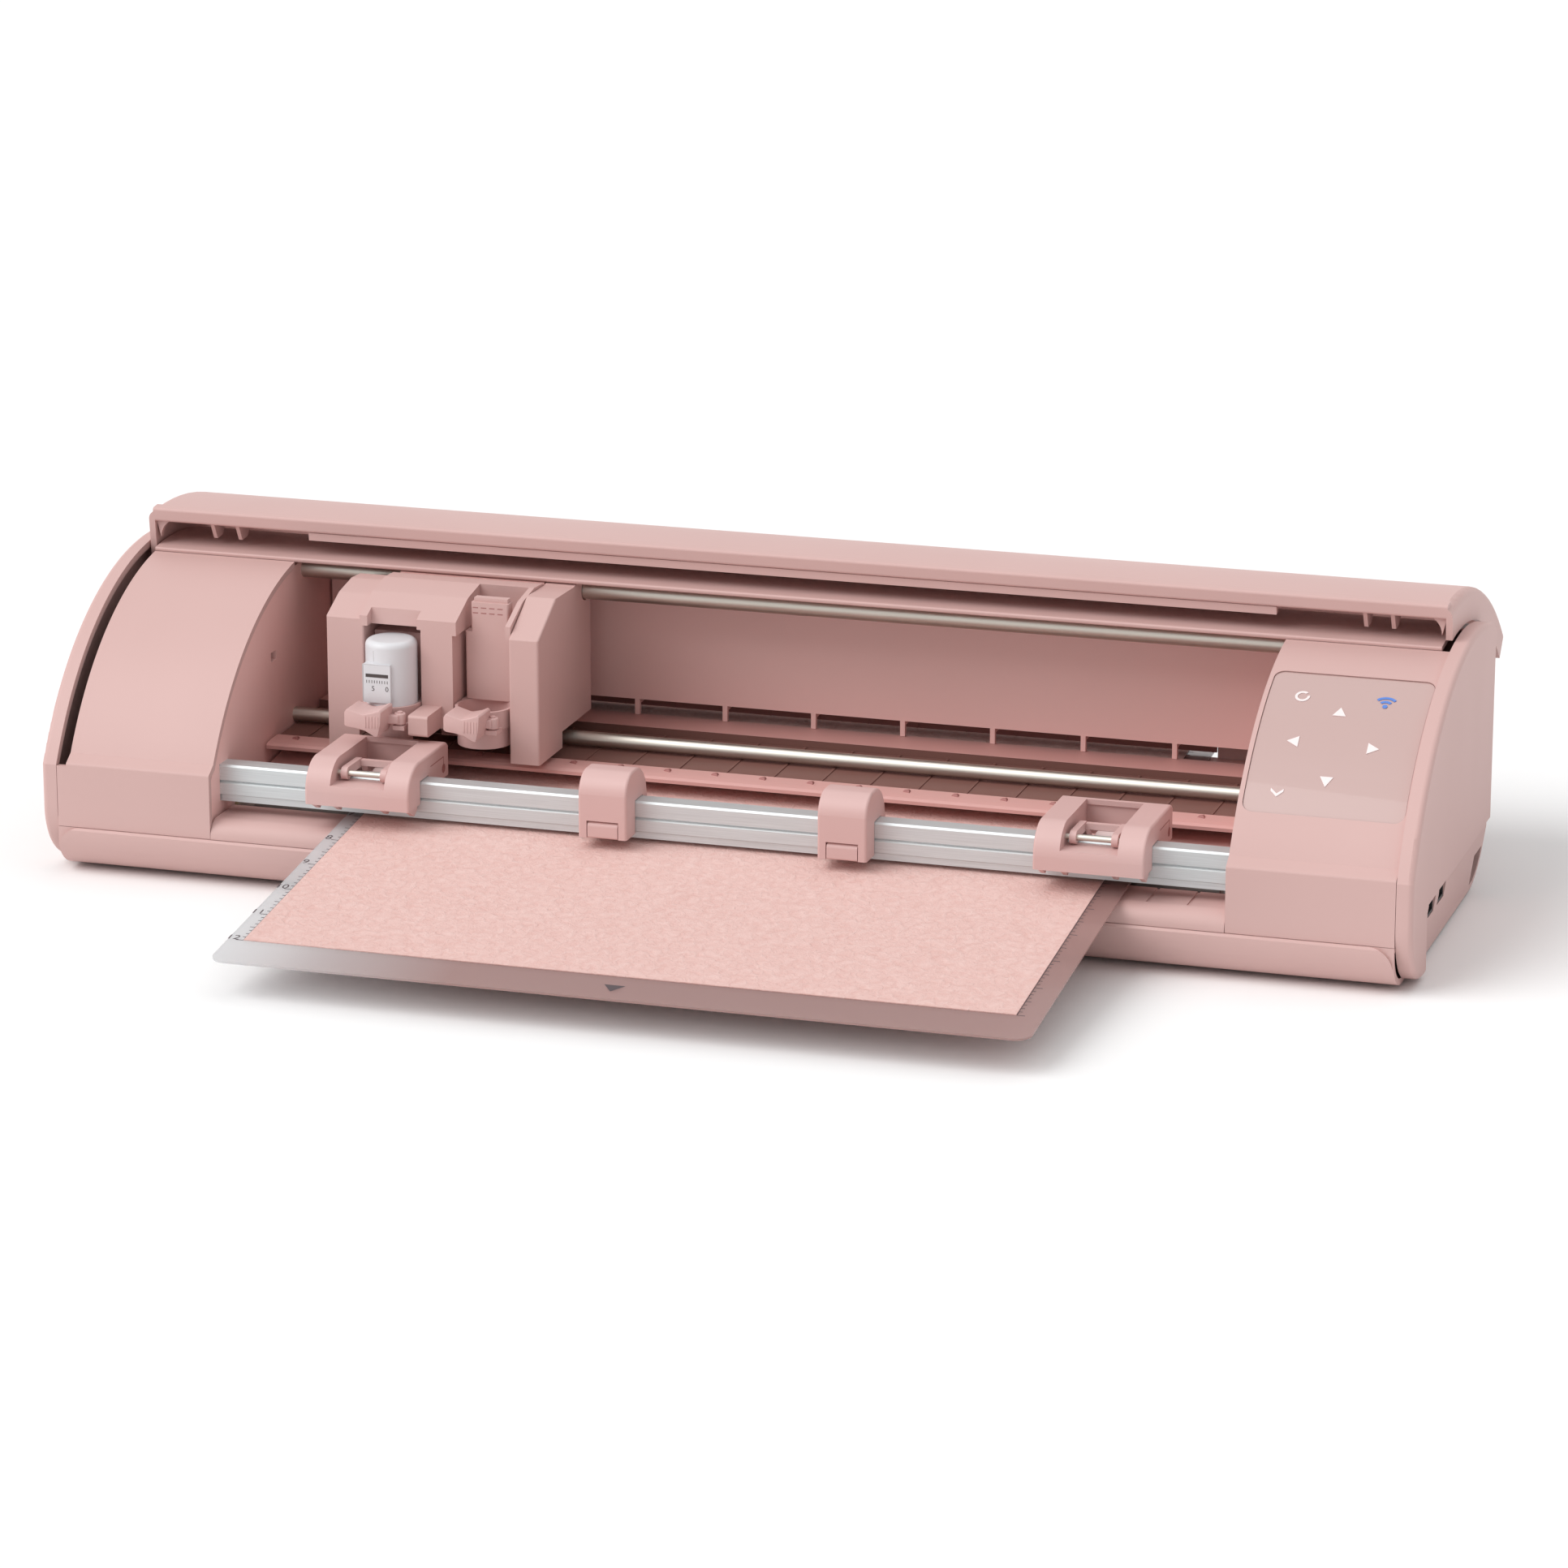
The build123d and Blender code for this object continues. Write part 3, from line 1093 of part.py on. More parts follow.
def tool_lever(name, x, y, reach):
    """Lock lever: an eye on the pin, a bar across the collar and a thumb tab."""
    px, py = lever_pin(x, y)
    low = COLLAR_BOTTOM + 2.1
    high = COLLAR_TOP + 0.4
    with BuildPart() as lever:
        with BuildSketch(level(low)):
            with Locations((px, py)):
                Circle(2.5)
            with BuildLine():
                Polyline((px, py + 2.0), (px, py - 2.5), (px - reach + 7, py - 2.5 - 2.5),
                         (px - reach, py - 10.5), (px - reach - 1.5, py - 5),
                         (px - reach + 2, py + 0.4), (px - 17, py + 1.1), close=True)
            make_face()
        extrude(amount=high - low)
        post_z(px, py, low - 1, high + 1, LEVER_PIN_R + RUN_FIT, mode=Mode.SUBTRACT)
        tips = lever.edges().filter_by(Axis.Z).sort_by(Axis.X)[:3]
        fillet(tips, 0.9)
    write(lever, name)


BLADE_TIP = 37.0


def autoblade():
    """White self-setting blade: round body, flat scale face, stem and nozzle."""
    x, y = TOOL_1_X, TOOL_1_Y
    low = COLLAR_BOTTOM + 2.5
    top = 94.6
    with BuildPart() as blade:
        post_z(x, y, low, top, TOOL_R)
        fillet(blade.faces().sort_by(Axis.Z)[-1].edges(), 2.6)
        block(x - 8.0, x + 3.4, y - TOOL_R - 0.6, y - TOOL_R + 4, COLLAR_TOP + 1.6, 86.0)
        post_z(x, y, 48.0, low + 0.01, STEM_R)
        with BuildSketch(Plane((x, BODY_Y + y, 48.01), z_dir=(0, 0, -1))):
            Circle(4.0)
        extrude(amount=48.01 - BLADE_TIP, taper=18)
    write(blade, "autoblade")


def tool_2_insert():
    """Tall flat insert of the second tool bay, with a stepped head."""
    x = TOOL_2_X
    y0 = -15.0
    low = COLLAR_TOP + 0.2
    with BuildPart() as insert:
        block(x - 10.2, x + 9.6, y0, TOOL_2_Y + COLLAR_R, low, 96.8)
        block(x - 7.6, x + 8.2, y0, TOOL_2_Y + COLLAR_R, 96.7, 109.0)
        block(x - 6.8, x + 7.4, y0 + 1.6, TOOL_2_Y + COLLAR_R, 108.9, 110.6)
        front = insert.edges().filter_by(Axis.Z).sort_by(Axis.Y)[:4]
        fillet(front, 0.8)
    write(insert, "tool_2_insert")


# ---------------------------------------------------------------- roller units and clips
UNIT_FRONT = -80.0
UNIT_REAR = -34.6
UNIT_TOP = 56.0
WINDOW_HALF = 11.4
WINDOW_FLOOR = 46.8


def roller_housing(name, x):
    """Saddle over the rail with a window for the pinch roller and a rounded front."""
    x0 = x - UNIT_WIDTH / 2
    x1 = x + UNIT_WIDTH / 2
    y_in = RAIL_FRONT - RAIL_FIT
    y_out = RAIL_FRONT + RAIL_DEPTH + RAIL_FIT
    with BuildPart() as unit:
        with BuildSketch(side(x0)):
            with BuildLine():
                Line((UNIT_REAR, 42.0), (UNIT_REAR, UNIT_TOP - 2))
                Line((UNIT_REAR, UNIT_TOP - 2), (UNIT_REAR - 2, UNIT_TOP))
                Line((UNIT_REAR - 2, UNIT_TOP), (-66.0, UNIT_TOP))
                ThreePointArc((-66.0, UNIT_TOP), (-75.6, 53.0), (UNIT_FRONT, 44.0))
                Polyline((UNIT_FRONT, 44.0), (UNIT_FRONT, 38.6), (y_in, 38.6),
                         (y_in, RAIL_TOP + RAIL_FIT), (y_out, RAIL_TOP + RAIL_FIT),
                         (y_out, 39.0), (y_out + 3, 39.0), (y_out + 6, 42.0), (UNIT_REAR, 42.0))
            make_face()
        extrude(amount=UNIT_WIDTH)
        # window over the roller, and the pocket that the roller and its arm work in
        block(x - WINDOW_HALF, x + WINDOW_HALF, UNIT_FRONT - 1, UNIT_REAR - 4, WINDOW_FLOOR,
              UNIT_TOP + 1, mode=Mode.SUBTRACT)
        block(x - WINDOW_HALF, x + WINDOW_HALF, y_out - 1, UNIT_REAR - 3.0, 38.0, UNIT_TOP - 2,
              mode=Mode.SUBTRACT)
        rod_x(x0 + 4, x1 - 4, PIN_Y, PIN_Z, PIN_R, mode=Mode.SUBTRACT)
        outline = unit.faces().sort_by(Axis.X)
        for face in (outline[0], outline[-1]):
            edges = face.edges().filter_by(lambda e: e.center().Z > 43 and
                                           (e.center().Y < BODY_Y - 68 or
                                            e.center().Z > UNIT_TOP - 0.1))
            fillet(edges, 1.0)
        for dx in (-20.0, -11.0, 9.0, 20.0):
            with BuildSketch(side(x + dx - 0.9)):
                with BuildLine():
                    Polyline((UNIT_FRONT + 1.2, 39.0), (y_in - 0.6, 39.0), (y_in - 0.6, 36.6),
                             (y_in - 4.0, 34.6), close=True)
                make_face()
            extrude(amount=1.8)
    write(unit, f"roller_housing_{name}")
    with BuildPart() as pin:
        rod_x(x0 + 4, x1 - 4, PIN_Y, PIN_Z, PIN_R)
    write(pin, f"pinch_pin_{name}")


ARM_IN = 7.0
ARM_THICK = 2.6
AXLE_R = 1.5


def pinch_arm(name, x):
    """Rocker on the pin: two cheeks over the rail, joined behind the roller."""
    hub = 2.6
    with BuildPart() as arm:
        for sign in (-1, 1):
            start = x + sign * ARM_IN
            with BuildSketch(side(start)):
                with Locations((PIN_Y, PIN_Z)):
                    Circle(hub)
                with Locations((FEED_Y, PINCH_Z)):
                    Circle(3.2)
                with BuildLine():
                    Polyline((PIN_Y, PIN_Z + hub), (-55.0, 52.2), (-47.0, 44.8),
                             (FEED_Y + 2.6, PINCH_Z + 1.8), (FEED_Y, PINCH_Z - 3.2),
                             (-50.6, 41.0), (-56.2, 48.8), (PIN_Y + 2, 48.6),
                             (PIN_Y, PIN_Z), close=True)
                make_face()
            extrude(amount=sign * ARM_THICK)
            x0, x1 = sorted((start - sign, start + sign * (ARM_THICK + 1)))
            rod_x(x0, x1, PIN_Y, PIN_Z, PIN_R + RUN_FIT, mode=Mode.SUBTRACT)
            rod_x(x0, x1, FEED_Y, PINCH_Z, AXLE_R + RUN_FIT, mode=Mode.SUBTRACT)
        block(x - ARM_IN - 1, x + ARM_IN + 1, -57.0, -54.6, 49.4, 51.8)
    write(arm, f"pinch_arm_{name}")


def pinch_roller(name, x):
    """Rubber roller on its steel axle."""
    with BuildPart() as roller:
        rod_x(x - PINCH_WIDTH / 2, x + PINCH_WIDTH / 2, FEED_Y, PINCH_Z, PINCH_R)
        chamfer(roller.edges().filter_by(GeomType.CIRCLE), 0.5)
        reach = ARM_IN + ARM_THICK
        rod_x(x - reach, x + reach, FEED_Y, PINCH_Z, AXLE_R)
    write(roller, f"pinch_roller_{name}")


CLIP_FRONT = -77.6
CLIP_LOW = 34.4
LATCH_WIDTH = 12.4
LATCH_HEIGHT = 4.6
LATCH_DEG = 80.0
LATCH_Y = CLIP_FRONT + 2.0
LATCH_Z = CLIP_LOW + LATCH_HEIGHT


def hold_down_clip(name, x):
    """Hook over the rail that keeps the sheet down, with a latch at its foot."""
    x0 = x - CLIP_WIDTH / 2
    y_in = RAIL_FRONT - RAIL_FIT
    y_out = RAIL_FRONT + RAIL_DEPTH + RAIL_FIT
    half = LATCH_WIDTH / 2 + 0.35
    with BuildPart() as clip:
        with BuildSketch(side(x0)):
            with BuildLine():
                Line((CLIP_FRONT, CLIP_LOW), (CLIP_FRONT, 52.0))
                ThreePointArc((CLIP_FRONT, 52.0), (-74.6, 58.0), (-68.0, 60.4))
                Line((-68.0, 60.4), (-64.0, 60.4))
                ThreePointArc((-64.0, 60.4), (-57.4, 58.2), (-52.4, 51.6))
                Polyline((-52.4, 51.6), (-51.0, 47.0), (-53.4, 42.6), (y_out, 42.0),
                         (y_out, RAIL_TOP + RAIL_FIT), (y_in, RAIL_TOP + RAIL_FIT),
                         (y_in, CLIP_LOW), (CLIP_FRONT, CLIP_LOW))
            make_face()
        extrude(amount=CLIP_WIDTH)
        ends = clip.faces().sort_by(Axis.X)
        for face in (ends[0], ends[-1]):
            edges = face.edges().filter_by(lambda e: e.center().Y < BODY_Y - 68
                                           and e.center().Z > CLIP_LOW + 5
                                           or e.center().Z > 55)
            fillet(edges, 1.1)
        rod_x(x - 3, x + 3, -50.4, 52.0, 2.2)
        block(x - half, x + half, CLIP_FRONT - 1, CLIP_FRONT + 5.2, CLIP_LOW - 1,
              LATCH_Z + 2.4, mode=Mode.SUBTRACT)
        rod_x(x - half - 2, x + half + 2, LATCH_Y, LATCH_Z, 0.9)
    write(clip, f"hold_down_clip_{name}")
    with BuildPart() as latch:
        w = LATCH_WIDTH / 2
        block(x - w, x + w, CLIP_FRONT, CLIP_FRONT + 3.6, CLIP_LOW, LATCH_Z)
        rod_x(x - w, x + w, LATCH_Y, LATCH_Z, 1.95)
        rod_x(x - w - 1, x + w + 1, LATCH_Y, LATCH_Z, 0.9 + RUN_FIT, mode=Mode.SUBTRACT)
        fillet(latch.edges().filter_by(Axis.X).sort_by(Axis.Z)[:2], 0.8)
    write(latch, f"clip_latch_{name}")


# ---------------------------------------------------------------- feed drive
def tooth_outline(teeth, module, thin, turn):
    """Corner points of one involute spur gear, with the flanks thinned for play."""
    pitch = teeth * module / 2
    base = pitch * cos(radians(20))
    tip = pitch + 0.85 * module
    root = pitch - 1.2 * module
    at_pitch = tan(radians(20)) - radians(20)
    half = pi / (2 * teeth) - thin / pitch
    points = []
    for tooth in range(teeth):
        middle = 2 * pi * tooth / teeth + turn
        flank = []
        for step in range(4):
            radius = max(root, base) + (tip - max(root, base)) * step / 3
            roll = sqrt(max((radius / base) ** 2 - 1, 0))
            offset = half + at_pitch - (roll - atan2(roll, 1))
            flank.append((radius, offset))
        flank.insert(0, (root, flank[0][1] + 0.25 / teeth))
        for radius, offset in flank:
            points.append((radius * cos(middle - offset), radius * sin(middle - offset)))
        for radius, offset in reversed(flank):
            points.append((radius * cos(middle + offset), radius * sin(middle + offset)))
    return points


def spur_gear(x0, x1, y, z, teeth, turn):
    """Spur gear about an axis along X, inside a BuildPart."""
    corners = [(y + a, z + b) for a, b in tooth_outline(teeth, FEED_MODULE, 0.03, turn)]
    profile(x0, x1, corners)


def feed_rollers():
    """Grit roller, its bushes, its gear, and the motor pinion in mesh with the gear."""
    with BuildPart() as roller:
        rod_x(-GRIT_HALF, GRIT_HALF, FEED_Y, GRIT_Z, GRIT_R)
        chamfer(roller.edges().filter_by(GeomType.CIRCLE), 0.6)
        rod_x(GEAR_X - GEAR_WIDTH - 1, FRAME_OUT + 4, FEED_Y, GRIT_Z, JOURNAL_R)
    write(roller, "grit_roller")
    with BuildPart() as bushes:
        for sign in (-1, 1):
            x0, x1 = sorted((sign * FRAME_IN, sign * (FRAME_OUT + 1)))
            rod_x(x0, x1, FEED_Y, GRIT_Z, JOURNAL_R + 2.5)
            rod_x(x0 - 1, x1 + 1, FEED_Y, GRIT_Z, JOURNAL_R + RUN_FIT, mode=Mode.SUBTRACT)
    write(bushes, "roller_bushes")
    x0 = GEAR_X - GEAR_WIDTH
    with BuildPart() as gear:
        spur_gear(x0, GEAR_X, FEED_Y, GRIT_Z, FEED_TEETH, radians(PINION_DEG))
        rod_x(x0 - 1, GEAR_X + 1, FEED_Y, GRIT_Z, JOURNAL_R, mode=Mode.SUBTRACT)
    write(gear, "feed_gear")
    with BuildPart() as pinion:
        turn = radians(PINION_DEG) + pi + pi / PINION_TEETH
        spur_gear(x0, GEAR_X, MOTOR_Y, MOTOR_Z, PINION_TEETH, turn)
        rod_x(FEED_MOTOR_IN - 7, x0 + 0.01, MOTOR_Y, MOTOR_Z, 1.5)
    write(pinion, "feed_pinion")


def belt_pulleys():
    """Motor pulley on the right and idler on the left."""
    low = BELT_Z - 0.6
    high = BELT_Z + BELT_WIDTH + 0.4
    for name, x in (("motor_pulley", PULLEY_X), ("idler_pulley", -PULLEY_X)):
        with BuildPart() as pulley:
            post_z(x, BELT_Y, low, high, BELT_R - 0.3)
            post_z(x, BELT_Y, low - 0.7, low, BELT_R + 0.8)
            if x > 0:
                post_z(x, BELT_Y, SHELF_Z - 7.5, low, 1.5)
            else:
                post_z(x, BELT_Y, low - 1, high + 1, 1.5 + RUN_FIT, mode=Mode.SUBTRACT)
        write(pulley, name)


# ---------------------------------------------------------------- mat and card
def mat_and_card():
    """Clear cutting mat with a square card on it, drawn in the mat's own plane."""
    front = -MAT_OVERHANG
    width = MAT_RIGHT - MAT_LEFT
    with BuildPart() as mat:
        with BuildSketch(mat_plane(0)):
            with Locations(((MAT_LEFT + MAT_RIGHT) / 2, front + MAT_LENGTH / 2)):
                RectangleRounded(width, MAT_LENGTH, MAT_CORNER_R)
        extrude(amount=MAT_THICK)
    write(mat, "cutting_mat")
    with BuildPart() as card:
        with BuildSketch(mat_plane(MAT_THICK)):
            middle = (MAT_LEFT + MAT_SIDE_MARGIN + CARD_SIDE / 2,
                      front + MAT_FRONT_MARGIN + CARD_SIDE / 2)
            with Locations(middle):
                Rectangle(CARD_SIDE, CARD_SIDE)
        extrude(amount=CARD_THICK)
    write(card, "card_sheet")


def build():
    """Make every piece."""
    for name, sign in (("left", -1), ("right", 1)):
        end_cap(f"{name}_end_cap", sign)
        front_panel(f"{name}_front_panel", sign)
        side_frame(f"{name}_side_frame", sign)
    control_pad()
    control_icons()
    wireless_icon()
    top_cover()
    rear_cover()
    base_tray()
    rubber_feet()
    case_screws()
    front_table()
    lower_platen()
    upper_guide()
    rear_inner_wall()
    front_rail()
    straight_shafts()
    drive_belt()
    x_motor()
    feed_motor()
    main_board()
    side_sockets()
    lid()
    carriage_frame()
    carriage_housing()
    carriage_side_block()
    tool_holder("tool_1_holder", TOOL_1_X, TOOL_1_Y, BAY_DEPTH)
    tool_lever("tool_1_lever", TOOL_1_X, TOOL_1_Y, LEVER_1_REACH)
    autoblade()
    tool_holder("tool_2_holder", TOOL_2_X, TOOL_2_Y, BAY_DEPTH)
    tool_lever("tool_2_lever", TOOL_2_X, TOOL_2_Y, LEVER_2_REACH)
    tool_2_insert()
    for name, x in UNIT_X.items():
        roller_housing(name, x)
        pinch_arm(name, x)
        pinch_roller(name, x)
    for name, x in CLIP_X.items():
        hold_down_clip(name, x)
    feed_rollers()
    belt_pulleys()
    mat_and_card()


build()
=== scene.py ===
import json
import math

import bmesh
import bpy
from mathutils import Matrix, Vector


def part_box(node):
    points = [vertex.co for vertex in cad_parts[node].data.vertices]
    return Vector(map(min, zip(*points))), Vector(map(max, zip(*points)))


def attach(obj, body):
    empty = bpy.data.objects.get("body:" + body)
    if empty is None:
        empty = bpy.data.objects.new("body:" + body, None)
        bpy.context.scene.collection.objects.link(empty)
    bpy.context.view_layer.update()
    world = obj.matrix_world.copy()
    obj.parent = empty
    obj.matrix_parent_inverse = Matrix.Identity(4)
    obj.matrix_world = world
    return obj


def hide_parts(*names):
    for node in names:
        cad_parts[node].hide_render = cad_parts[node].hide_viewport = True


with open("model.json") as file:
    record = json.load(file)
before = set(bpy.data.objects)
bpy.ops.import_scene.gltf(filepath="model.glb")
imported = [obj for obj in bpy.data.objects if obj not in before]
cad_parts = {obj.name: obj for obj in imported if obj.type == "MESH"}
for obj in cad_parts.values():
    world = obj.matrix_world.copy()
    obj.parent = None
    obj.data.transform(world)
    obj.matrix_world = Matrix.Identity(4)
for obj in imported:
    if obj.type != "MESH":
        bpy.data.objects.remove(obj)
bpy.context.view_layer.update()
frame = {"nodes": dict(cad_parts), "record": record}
MM = 0.001


# ------------------------------------------------------------------ places taken from the frame
def low(node):
    """Lowest corner of a CAD node, in millimetres."""
    return Vector(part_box(node)[0]) / MM


def high(node):
    """Highest corner of a CAD node, in millimetres."""
    return Vector(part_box(node)[1]) / MM


def middle(node):
    """Middle of a CAD node's box, in millimetres."""
    return (low(node) + high(node)) / 2


# the lid's curve is centred on its hinge line
HINGE = Vector(next(j for j in frame["record"]["behaviour"]["joints"]
                    if j["name"] == "lid_swing")["pos_m"]) / MM
# depth of the body's own middle: the lid's axis lies behind it
BODY_Y = HINGE.y - 35.0
# slope of the mat from front to back
TILT = math.radians(6.0)


# ------------------------------------------------------------------ colours and materials
def colour(code):
    """sRGB hex to the linear RGBA that a shader socket takes."""
    channels = [int(code[i:i + 2], 16) / 255 for i in (1, 3, 5)]
    linear = [c / 12.92 if c <= 0.04045 else ((c + 0.055) / 1.055) ** 2.4 for c in channels]
    return (*linear, 1.0)


def node(tree, kind, links=(), **settings):
    """Add a shader node: attributes by name, sockets by s_NAME or s_INDEX, then its links."""
    made = tree.nodes.new(kind)
    for key, value in settings.items():
        if key.startswith("s_"):
            socket = key[2:].replace("_", " ")
            made.inputs[int(socket) if socket.isdigit() else socket].default_value = value
        else:
            setattr(made, key, value)
    for socket, source in links:
        tree.links.new(source, made.inputs[socket])
    return made


def material(name, base, roughness, **shader_settings):
    """Principled material with its constants on the shader's own sockets."""
    made = bpy.data.materials.new(name)
    made.use_nodes = True
    tree = made.node_tree
    shader = tree.nodes["Principled BSDF"]
    shader.inputs["Base Color"].default_value = colour(base)
    shader.inputs["Roughness"].default_value = roughness
    for key, value in shader_settings.items():
        shader.inputs[key.replace("_", " ")].default_value = value
    return made, tree, shader


def per_mm(size):
    """Noise or wave scale that repeats about every so many millimetres."""
    return 1 / (size * MM)


def moulded(name, base, roughness=0.5, grain=0.9):
    """ABS moulded in a spark-eroded tool: an even matt skin with a very fine pebble."""
    made, tree, shader = material(name, base, roughness, IOR=1.46)
    place = node(tree, "ShaderNodeTexCoord")
    # the pebble is about 0.2 mm on the real case, drawn coarser so that it shows
    pebble = node(tree, "ShaderNodeTexNoise", [("Vector", place.outputs["Object"])],
                  s_Scale=per_mm(grain), s_Detail=3.0, s_Roughness=0.6)
    bump = node(tree, "ShaderNodeBump", [("Height", pebble.outputs["Fac"])],
                s_Strength=0.12, s_Distance=0.06 * MM)
    # handling leaves the sheen slightly uneven over a hand's width
    wear = node(tree, "ShaderNodeTexNoise", [("Vector", place.outputs["Object"])],
                s_Scale=per_mm(70), s_Detail=2.0)
    sheen = node(tree, "ShaderNodeMapRange", [("Value", wear.outputs["Fac"])],
                 s_3=roughness - 0.03, s_4=roughness + 0.05)
    # pigment varies a little between the moulding's thick and thin places
    tone = node(tree, "ShaderNodeMix", [(0, wear.outputs["Fac"])], data_type="RGBA",
                s_6=colour(base), s_7=colour(darker(base, 0.97)))
    tree.links.new(bump.outputs["Normal"], shader.inputs["Normal"])
    tree.links.new(sheen.outputs["Result"], shader.inputs["Roughness"])
    tree.links.new(tone.outputs[2], shader.inputs["Base Color"])
    return made


def darker(code, share):
    """The same hex colour at a share of its brightness."""
    return "#" + "".join(f"{round(int(code[i:i + 2], 16) * share):02X}" for i in (1, 3, 5))


def drawn_metal(name, base, roughness, line, metal=1.0):
    """Metal drawn or ground lengthwise: fine lines run along X and stretch its highlights."""
    made, tree, shader = material(name, base, roughness, Metallic=metal)
    place = node(tree, "ShaderNodeTexCoord")
    stretched = node(tree, "ShaderNodeMapping", [("Vector", place.outputs["Object"])],
                     s_Scale=(0.012, 1.0, 1.0))
    lines = node(tree, "ShaderNodeTexNoise", [("Vector", stretched.outputs["Vector"])],
                 s_Scale=per_mm(line), s_Detail=3.0, s_Roughness=0.7)
    spread = node(tree, "ShaderNodeMapRange", [("Value", lines.outputs["Fac"])],
                  s_3=roughness - 0.08, s_4=roughness + 0.12)
    tone = node(tree, "ShaderNodeMix", [(0, lines.outputs["Fac"])], data_type="RGBA",
                s_6=colour(darker(base, 0.82)), s_7=colour(base))
    bump = node(tree, "ShaderNodeBump", [("Height", lines.outputs["Fac"])],
                s_Strength=0.25, s_Distance=0.03 * MM)
    tree.links.new(bump.outputs["Normal"], shader.inputs["Normal"])
    tree.links.new(spread.outputs["Result"], shader.inputs["Roughness"])
    tree.links.new(tone.outputs[2], shader.inputs["Base Color"])
    return made


def plain(name, base, roughness, grain=1.2, strength=0.1, **settings):
    """Small parts: one colour with a faint grain that breaks up the highlight."""
    made, tree, shader = material(name, base, roughness, **settings)
    place = node(tree, "ShaderNodeTexCoord")
    speck = node(tree, "ShaderNodeTexNoise", [("Vector", place.outputs["Object"])],
                 s_Scale=per_mm(grain), s_Detail=3.0)
    bump = node(tree, "ShaderNodeBump", [("Height", speck.outputs["Fac"])],
                s_Strength=strength, s_Distance=0.05 * MM)
    spread = node(tree, "ShaderNodeMapRange", [("Value", speck.outputs["Fac"])],
                  s_3=roughness - 0.04, s_4=roughness + 0.06)
    tree.links.new(bump.outputs["Normal"], shader.inputs["Normal"])
    tree.links.new(spread.outputs["Result"], shader.inputs["Roughness"])
    return made


def embossed_card():
    """Card pressed between embossing rolls: a soft hide-like relief, with painted shade darkening
    its hollows.
    """
    made, tree, shader = material("embossed_card", "#E6BFB8", 0.8, Sheen_Weight=0.12)
    place = node(tree, "ShaderNodeTexCoord")
    # the relief's folds are 3 to 5 mm long, with fibre between them
    folds = node(tree, "ShaderNodeTexNoise", [("Vector", place.outputs["Object"])],
                 s_Scale=per_mm(3.4), s_Detail=4.0, s_Roughness=0.62, s_Distortion=0.7)
    fibre = node(tree, "ShaderNodeTexNoise", [("Vector", place.outputs["Object"])],
                 s_Scale=per_mm(0.9), s_Detail=2.0)
    relief = node(tree, "ShaderNodeMath", [(0, fibre.outputs["Fac"]), (2, folds.outputs["Fac"])],
                  operation="MULTIPLY_ADD", s_1=0.14)
    bump = node(tree, "ShaderNodeBump", [("Height", relief.outputs["Value"])],
                s_Strength=0.85, s_Distance=0.9 * MM)
    # painted shade: the colour follows the folds that shape the relief and is darker in its
    # hollows
    tone = node(tree, "ShaderNodeValToRGB", [("Fac", folds.outputs["Fac"])])
    tone.color_ramp.elements[0].position = 0.3
    tone.color_ramp.elements[0].color = colour("#DFB3AB")
    tone.color_ramp.elements[1].position = 0.68
    tone.color_ramp.elements[1].color = colour("#E9C5BE")
    tree.links.new(bump.outputs["Normal"], shader.inputs["Normal"])
    tree.links.new(tone.outputs["Color"], shader.inputs["Base Color"])
    return made


# width over which the mat's painted reflection turns from pale grey at its left edge to pink
PAINTED_REFLECTION_WIDTH = 95.0


def cloudy_film():
    """PVC cutting mat: clear sheet clouded by its tacky coat, with painted reflection in its
    colour: pale grey at the left, pink further right.
    """
    made, tree, shader = material("tacky_pvc_sheet_painted_reflection", "#B3908D", 0.3, IOR=1.52, Alpha=0.6,
                                  Coat_Weight=0.2)
    place = node(tree, "ShaderNodeTexCoord")
    coat = node(tree, "ShaderNodeTexNoise", [("Vector", place.outputs["Object"])],
                s_Scale=per_mm(25), s_Detail=4.0)
    spread = node(tree, "ShaderNodeMapRange", [("Value", coat.outputs["Fac"])],
                  s_3=0.22, s_4=0.4)
    tree.links.new(spread.outputs["Result"], shader.inputs["Roughness"])
    # painted reflection: the colour runs from pale grey at the mat's left edge to pink a set width
    # further right
    axes = node(tree, "ShaderNodeSeparateXYZ", [("Vector", place.outputs["Object"])])
    across = node(tree, "ShaderNodeMapRange", [("Value", axes.outputs["X"])],
                  s_1=low("cutting_mat").x * MM, s_2=(low("cutting_mat").x + PAINTED_REFLECTION_WIDTH) * MM)
    painted_reflection_tint = node(tree, "ShaderNodeMix", [(0, across.outputs["Result"])], data_type="RGBA",
                s_6=colour("#D8D8DA"), s_7=colour("#B38D88"))
    tree.links.new(painted_reflection_tint.outputs[2], shader.inputs["Base Color"])
    return made


# where the guide's brown tray starts and ends, from the body's middle
TRAY_FRONT, TRAY_BACK = -5.9, 41.1


